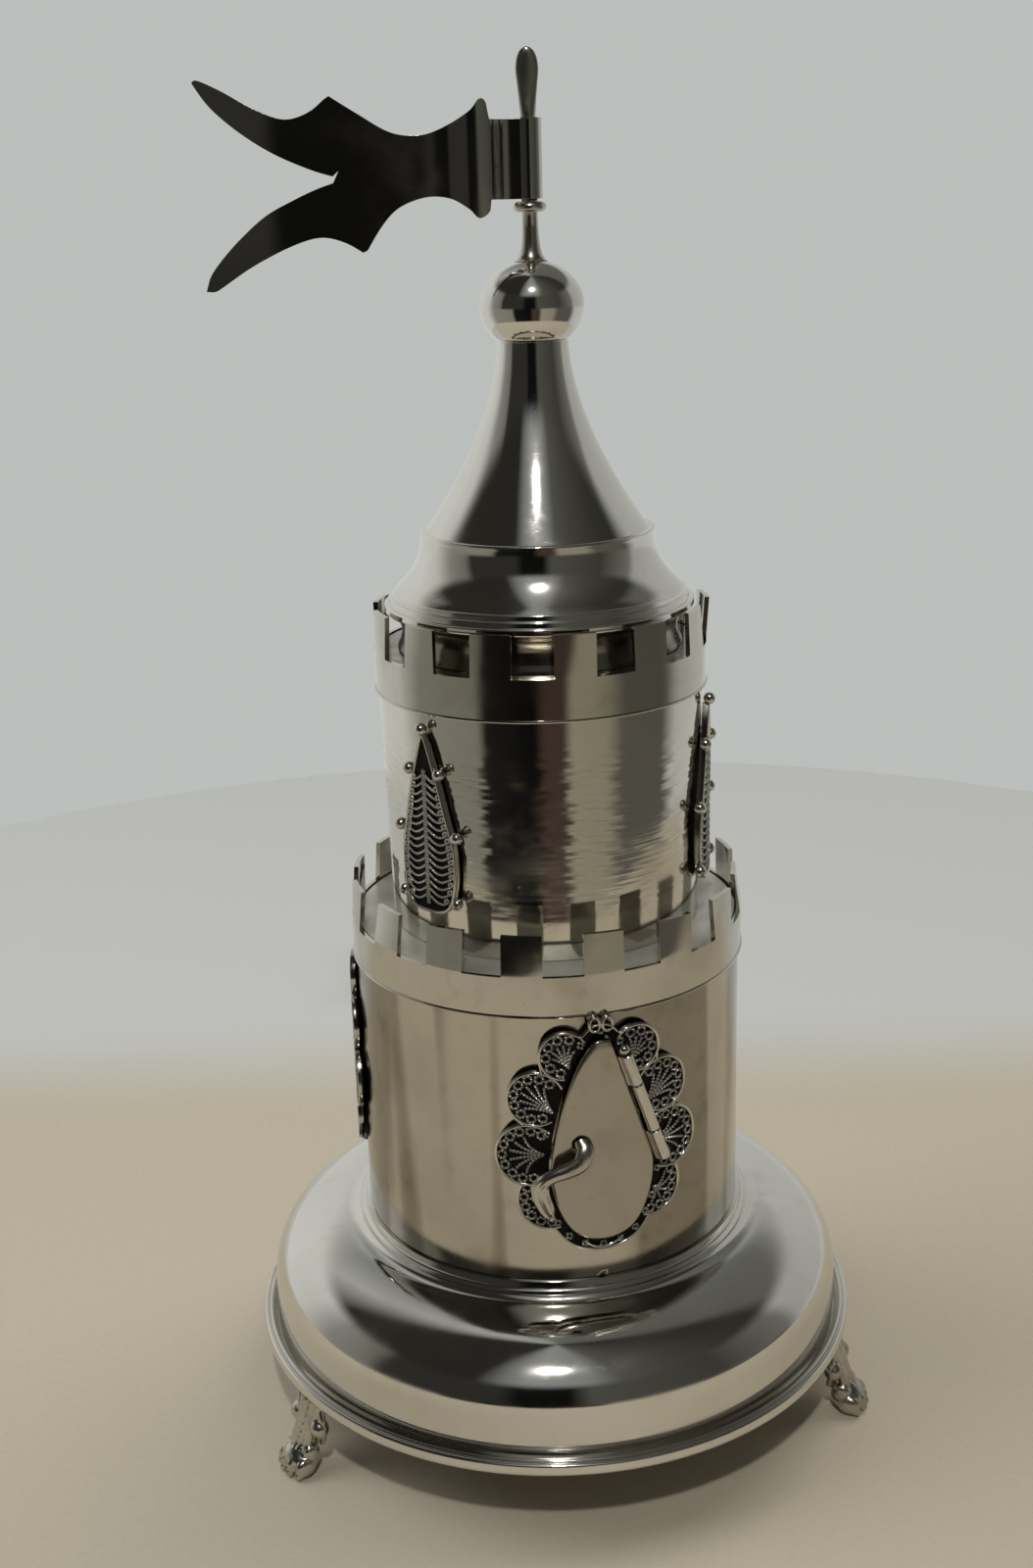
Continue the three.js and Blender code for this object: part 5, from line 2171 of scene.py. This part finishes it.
    def _build_surround(self) -> None:
        """Filigree surround with the fixed knuckle."""
        skin = self.surround.build()
        skin.finish = PLAIN
        self._knuckle(skin, 1 - self.splits[1], 1 - self.splits[0] + 0.08, -1.15, self.surround.face)
        finishes = [self.surround.finish, self.finishes.rim]
        MAKER.make("filigree_surround", skin, 60, finishes, "door_surround", Slot.FILIGREE)

    def _build_pin(self) -> None:
        """Pin through the knuckles with a ball on its upper end."""
        skin = Skin()
        skin.loft([
            [self.hinge_point(0.42 * math.cos(a), 0.42 * math.sin(a), level) for a in around(20)]
            for level in (-0.1, self.length * 0.5, self.length + 0.6)
        ])
        skin.blob(self.hinge_point(0, 0, self.length + 0.85), Vector((0.85, 0.85, 0.85)), steps=12)
        MAKER.make("pin", skin, 50, [self.finishes.sheet], "hinge_pin")


# Studio

@dataclass
class Studio:
    """Pale floor, soft lights, surroundings to reflect and the camera."""

    camera_place: Vector = field(default_factory=lambda: Vector((-67.65, -277.5, 198.1)))
    focal_pixels: float = 1851.0
    sensor: float = 36.0
    pan: float = -0.885
    tilt: float = 17.402
    roll: float = -1.596
    floor_radius: float = 310.0
    floor_front: float = 245.0
    low_tones: tuple[tuple[float, Colour], ...] = (
        (-180, (0.66, 0.67, 0.65)), (-115, (0.62, 0.63, 0.60)), (-92, (0.26, 0.255, 0.22)),
        (-46, (0.22, 0.215, 0.18)), (-40, (0.01, 0.01, 0.009)), (-5, (0.004, 0.004, 0.004)),
        (2, (0.06, 0.038, 0.032)), (15, (0.055, 0.038, 0.032)), (21, (0.30, 0.275, 0.21)),
        (47, (0.27, 0.25, 0.19)), (58, (0.10, 0.095, 0.08)), (94, (0.095, 0.09, 0.08)),
        (108, (0.50, 0.51, 0.49)), (180, (0.62, 0.63, 0.61)),
    )
    middle_tones: tuple[tuple[float, Colour], ...] = (
        (-180, (0.60, 0.61, 0.59)), (-135, (0.68, 0.69, 0.67)), (-112, (0.60, 0.61, 0.59)),
        (-94, (0.26, 0.26, 0.24)), (-74, (0.18, 0.18, 0.16)), (-68, (0.03, 0.029, 0.025)),
        (-22, (0.03, 0.029, 0.026)), (-15, (0.005, 0.005, 0.005)), (5, (0.005, 0.005, 0.005)),
        (13, (0.08, 0.083, 0.07)), (62, (0.05, 0.048, 0.042)), (84, (0.12, 0.12, 0.105)),
        (96, (0.16, 0.16, 0.15)), (104, (0.38, 0.385, 0.37)), (180, (0.55, 0.56, 0.54)),
    )
    high_tones: tuple[tuple[float, Colour], ...] = (
        (-180, (0.15, 0.155, 0.15)), (-135, (0.42, 0.425, 0.41)), (-124, (0.28, 0.28, 0.265)),
        (-108, (0.025, 0.024, 0.02)), (-34, (0.022, 0.021, 0.018)), (-22, (0.20, 0.205, 0.20)),
        (-10, (0.30, 0.31, 0.31)), (14, (0.24, 0.245, 0.24)), (27, (0.09, 0.09, 0.085)),
        (48, (0.065, 0.063, 0.056)), (84, (0.035, 0.034, 0.03)), (100, (0.03, 0.03, 0.026)),
        (112, (0.12, 0.12, 0.11)), (145, (0.13, 0.13, 0.12)), (180, (0.15, 0.155, 0.15)),
    )

    def build(self) -> None:
        """Sets up everything that isn't part of the tower."""
        self._floor()
        self._world()
        self._lights()
        self._camera()
        settings = bpy.context.scene.view_settings
        settings.view_transform = "Standard"
        settings.look = "None"
        settings.exposure = 0.0

    def _floor(self) -> None:
        """Round pale floor that ends a little in front of the tower, warm near and paler behind."""
        turn = math.radians(FRAME_TURN)
        work = bmesh.new()
        bmesh.ops.create_circle(
            work, cap_ends=True, cap_tris=False, segments=128, radius=self.floor_radius * MM,
        )
        mesh = bpy.data.meshes.new("floor")
        work.to_mesh(mesh)
        work.free()
        back = (self.floor_radius - self.floor_front) * MM
        floor = bpy.data.objects.new("floor", mesh)
        floor.location = (-back * math.sin(turn), AXIS_Y * MM + back * math.cos(turn), -0.0001)
        bpy.context.scene.collection.objects.link(floor)
        material, graph = new_material("floor_paper")
        place = graph.place()
        depth = graph.part(place, "X") * -math.sin(turn) + graph.part(place, "Y") * math.cos(turn)
        pale = (depth + back).between(0.09, 0.15)
        grain = graph.noise(place, 900, 2, 0.5)
        warm = graph.blend(grain, (0.50, 0.445, 0.345, 1), (0.56, 0.50, 0.395, 1))
        graph.surface({"Base Color": graph.blend(pale, warm, (0.59, 0.60, 0.585, 1)), "Roughness": 0.85})
        mesh.materials.append(material)

    def _world(self) -> None:
        """Plain pale backdrop, and for the silver a pale room that is dark in front of the tower."""
        world = bpy.data.worlds.new("room")
        bpy.context.scene.world = world
        world.use_nodes = True
        graph = Graph(world.node_tree)
        direction = graph.node("ShaderNodeTexCoord", {}, {}).outputs["Generated"]
        turn = math.radians(FRAME_TURN)
        x, y, z = (graph.part(direction, axis) for axis in "XYZ")
        side = x * math.cos(turn) + y * math.sin(turn)
        front = x * math.sin(turn) - y * math.cos(turn)
        round_room = Value(graph, graph.node(
            "ShaderNodeMath", {"operation": "ARCTAN2"}, {0: side, 1: front}).outputs[0]) / math.tau + 0.5
        low, middle, high = (
            graph.node(
                "ShaderNodeValToRGB",
                {"stops": [(0.5 + azimuth / 360, colour) for azimuth, colour in tones]},
                {0: round_room},
            ).outputs[0]
            for tones in (self.low_tones, self.middle_tones, self.high_tones)
        )
        room = graph.blend(z.between(-0.09, -0.01), low, middle)
        room = graph.blend(z.between(0.46, 0.62), room, high)
        camera = graph.node("ShaderNodeLightPath", {}, {}).outputs["Is Camera Ray"]
        seen = graph.blend(camera, room, (0.50, 0.52, 0.505, 1))
        background = graph.node("ShaderNodeBackground", {}, {"Color": seen, "Strength": 1.0})
        graph.node("ShaderNodeOutputWorld", {}, {"Surface": background.outputs[0]})

    def _light(self, name: str, place: Vector, size: float, power: float, colour: Colour) -> Object:
        """Soft square light that faces the middle of the tower.

        Args:
            name: Name of the light.
            place: Its place in metres, counted from the tower's axis.
            size: Side of the light in metres.
            power: Power in watts.
            colour: Colour of the light.

        Returns:
            The light's object.
        """
        data = bpy.data.lights.new(name, "AREA")
        data.size = size
        data.energy = power
        data.color = colour
        light = bpy.data.objects.new(name, data)
        light.location = place
        aim = Vector((0, AXIS_Y * MM, 0.1)) - place
        light.rotation_euler = aim.to_track_quat("-Z", "Y").to_euler()
        bpy.context.scene.collection.objects.link(light)
        return light

    def _lights(self) -> None:
        """One lamp high in front, and two wide lights that light the floor without a reflection."""
        turn = Matrix.Rotation(math.radians(FRAME_TURN), 3, "Z")
        self._light("lamp", turn @ Vector((0.0, -0.72, 1.05)), 0.06, 4.5, (1, 0.98, 0.94))
        wide = [
            self._light("window", turn @ Vector((-0.9, 0.0, 1.0)), 0.9, 7.0, (0.96, 0.98, 1)),
            self._light("ceiling", turn @ Vector((0.6, 0.5, 1.3)), 0.9, 7.0, (1, 0.98, 0.95)),
        ]
        for light in wide:
            light.visible_glossy = False

    def _camera(self) -> None:
        """Camera at the place and angle that the photograph was taken from."""
        pan, tilt, roll = (math.radians(a) for a in (self.pan, self.tilt, self.roll))
        forward = Vector((math.sin(pan) * math.cos(tilt), math.cos(pan) * math.cos(tilt), -math.sin(tilt)))
        right = Vector((math.cos(pan), -math.sin(pan), 0))
        up = right.cross(forward)
        across = right * math.cos(roll) + up * math.sin(roll)
        above = up * math.cos(roll) - right * math.sin(roll)
        turn = Matrix.Rotation(math.radians(FRAME_TURN), 3, "Z")
        axes = Matrix([turn @ across, turn @ above, -(turn @ forward)]).transposed()
        data = bpy.data.cameras.new("camera")
        data.sensor_width = self.sensor
        data.sensor_fit = "AUTO"
        data.lens = self.sensor * self.focal_pixels / max(PHOTO_SIZE)
        data.clip_start = 0.01
        camera = bpy.data.objects.new("camera", data)
        place = (self.camera_place + Vector((0, AXIS_Y, 0))) * MM
        camera.matrix_world = Matrix.Translation(place) @ axes.to_4x4()
        bpy.context.scene.collection.objects.link(camera)
        bpy.context.scene.camera = camera


def write_sizes() -> None:
    """Brings the view layer up to date."""
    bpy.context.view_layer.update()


def main() -> None:
    """Builds the studio and then the tower from its feet to its flag."""
    logging.basicConfig(level=logging.INFO, format="%(name)s %(message)s")
    Studio().build()
    finishes = Finishes()
    Base(finishes).build()
    for node, azimuth in (("foot_left", -67.5), ("foot_right", 57.2), ("foot_back", 175.8)):
        Foot(finishes, node, azimuth).build()
    Drums(finishes).build()
    Battlement(finishes, "lower_battlement", 16, 1.8, 5, lean=-5.0).build()
    Battlement(finishes, "upper_battlement", 13, -2.4, 8, lean=-0.6).build()
    Roof(finishes).build()
    Finial(finishes).build()
    Flag(finishes).build()
    surround = Plaque("door_surround", 0)
    Door(finishes, surround).build()
    for node, name, turn in (
        ("side_plaque_left", "plaque_left", -117), ("side_plaque_right", "plaque_right", 117),
    ):
        plaque = SidePlaque(node, turn)
        MAKER.make(name, plaque.build(), 60, [plaque.finish, finishes.rim], node, Slot.FILIGREE)
    for node, name, turn in (
        ("teardrop_left", "drop_left", -56), ("teardrop_right", "drop_right", 64),
        ("teardrop_back", "drop_back", 184),
    ):
        Teardrop(finishes, node, name, turn).build()
    write_sizes()
    log.info("%d pieces", MAKER.count)


if __name__ == "__main__":
    main()
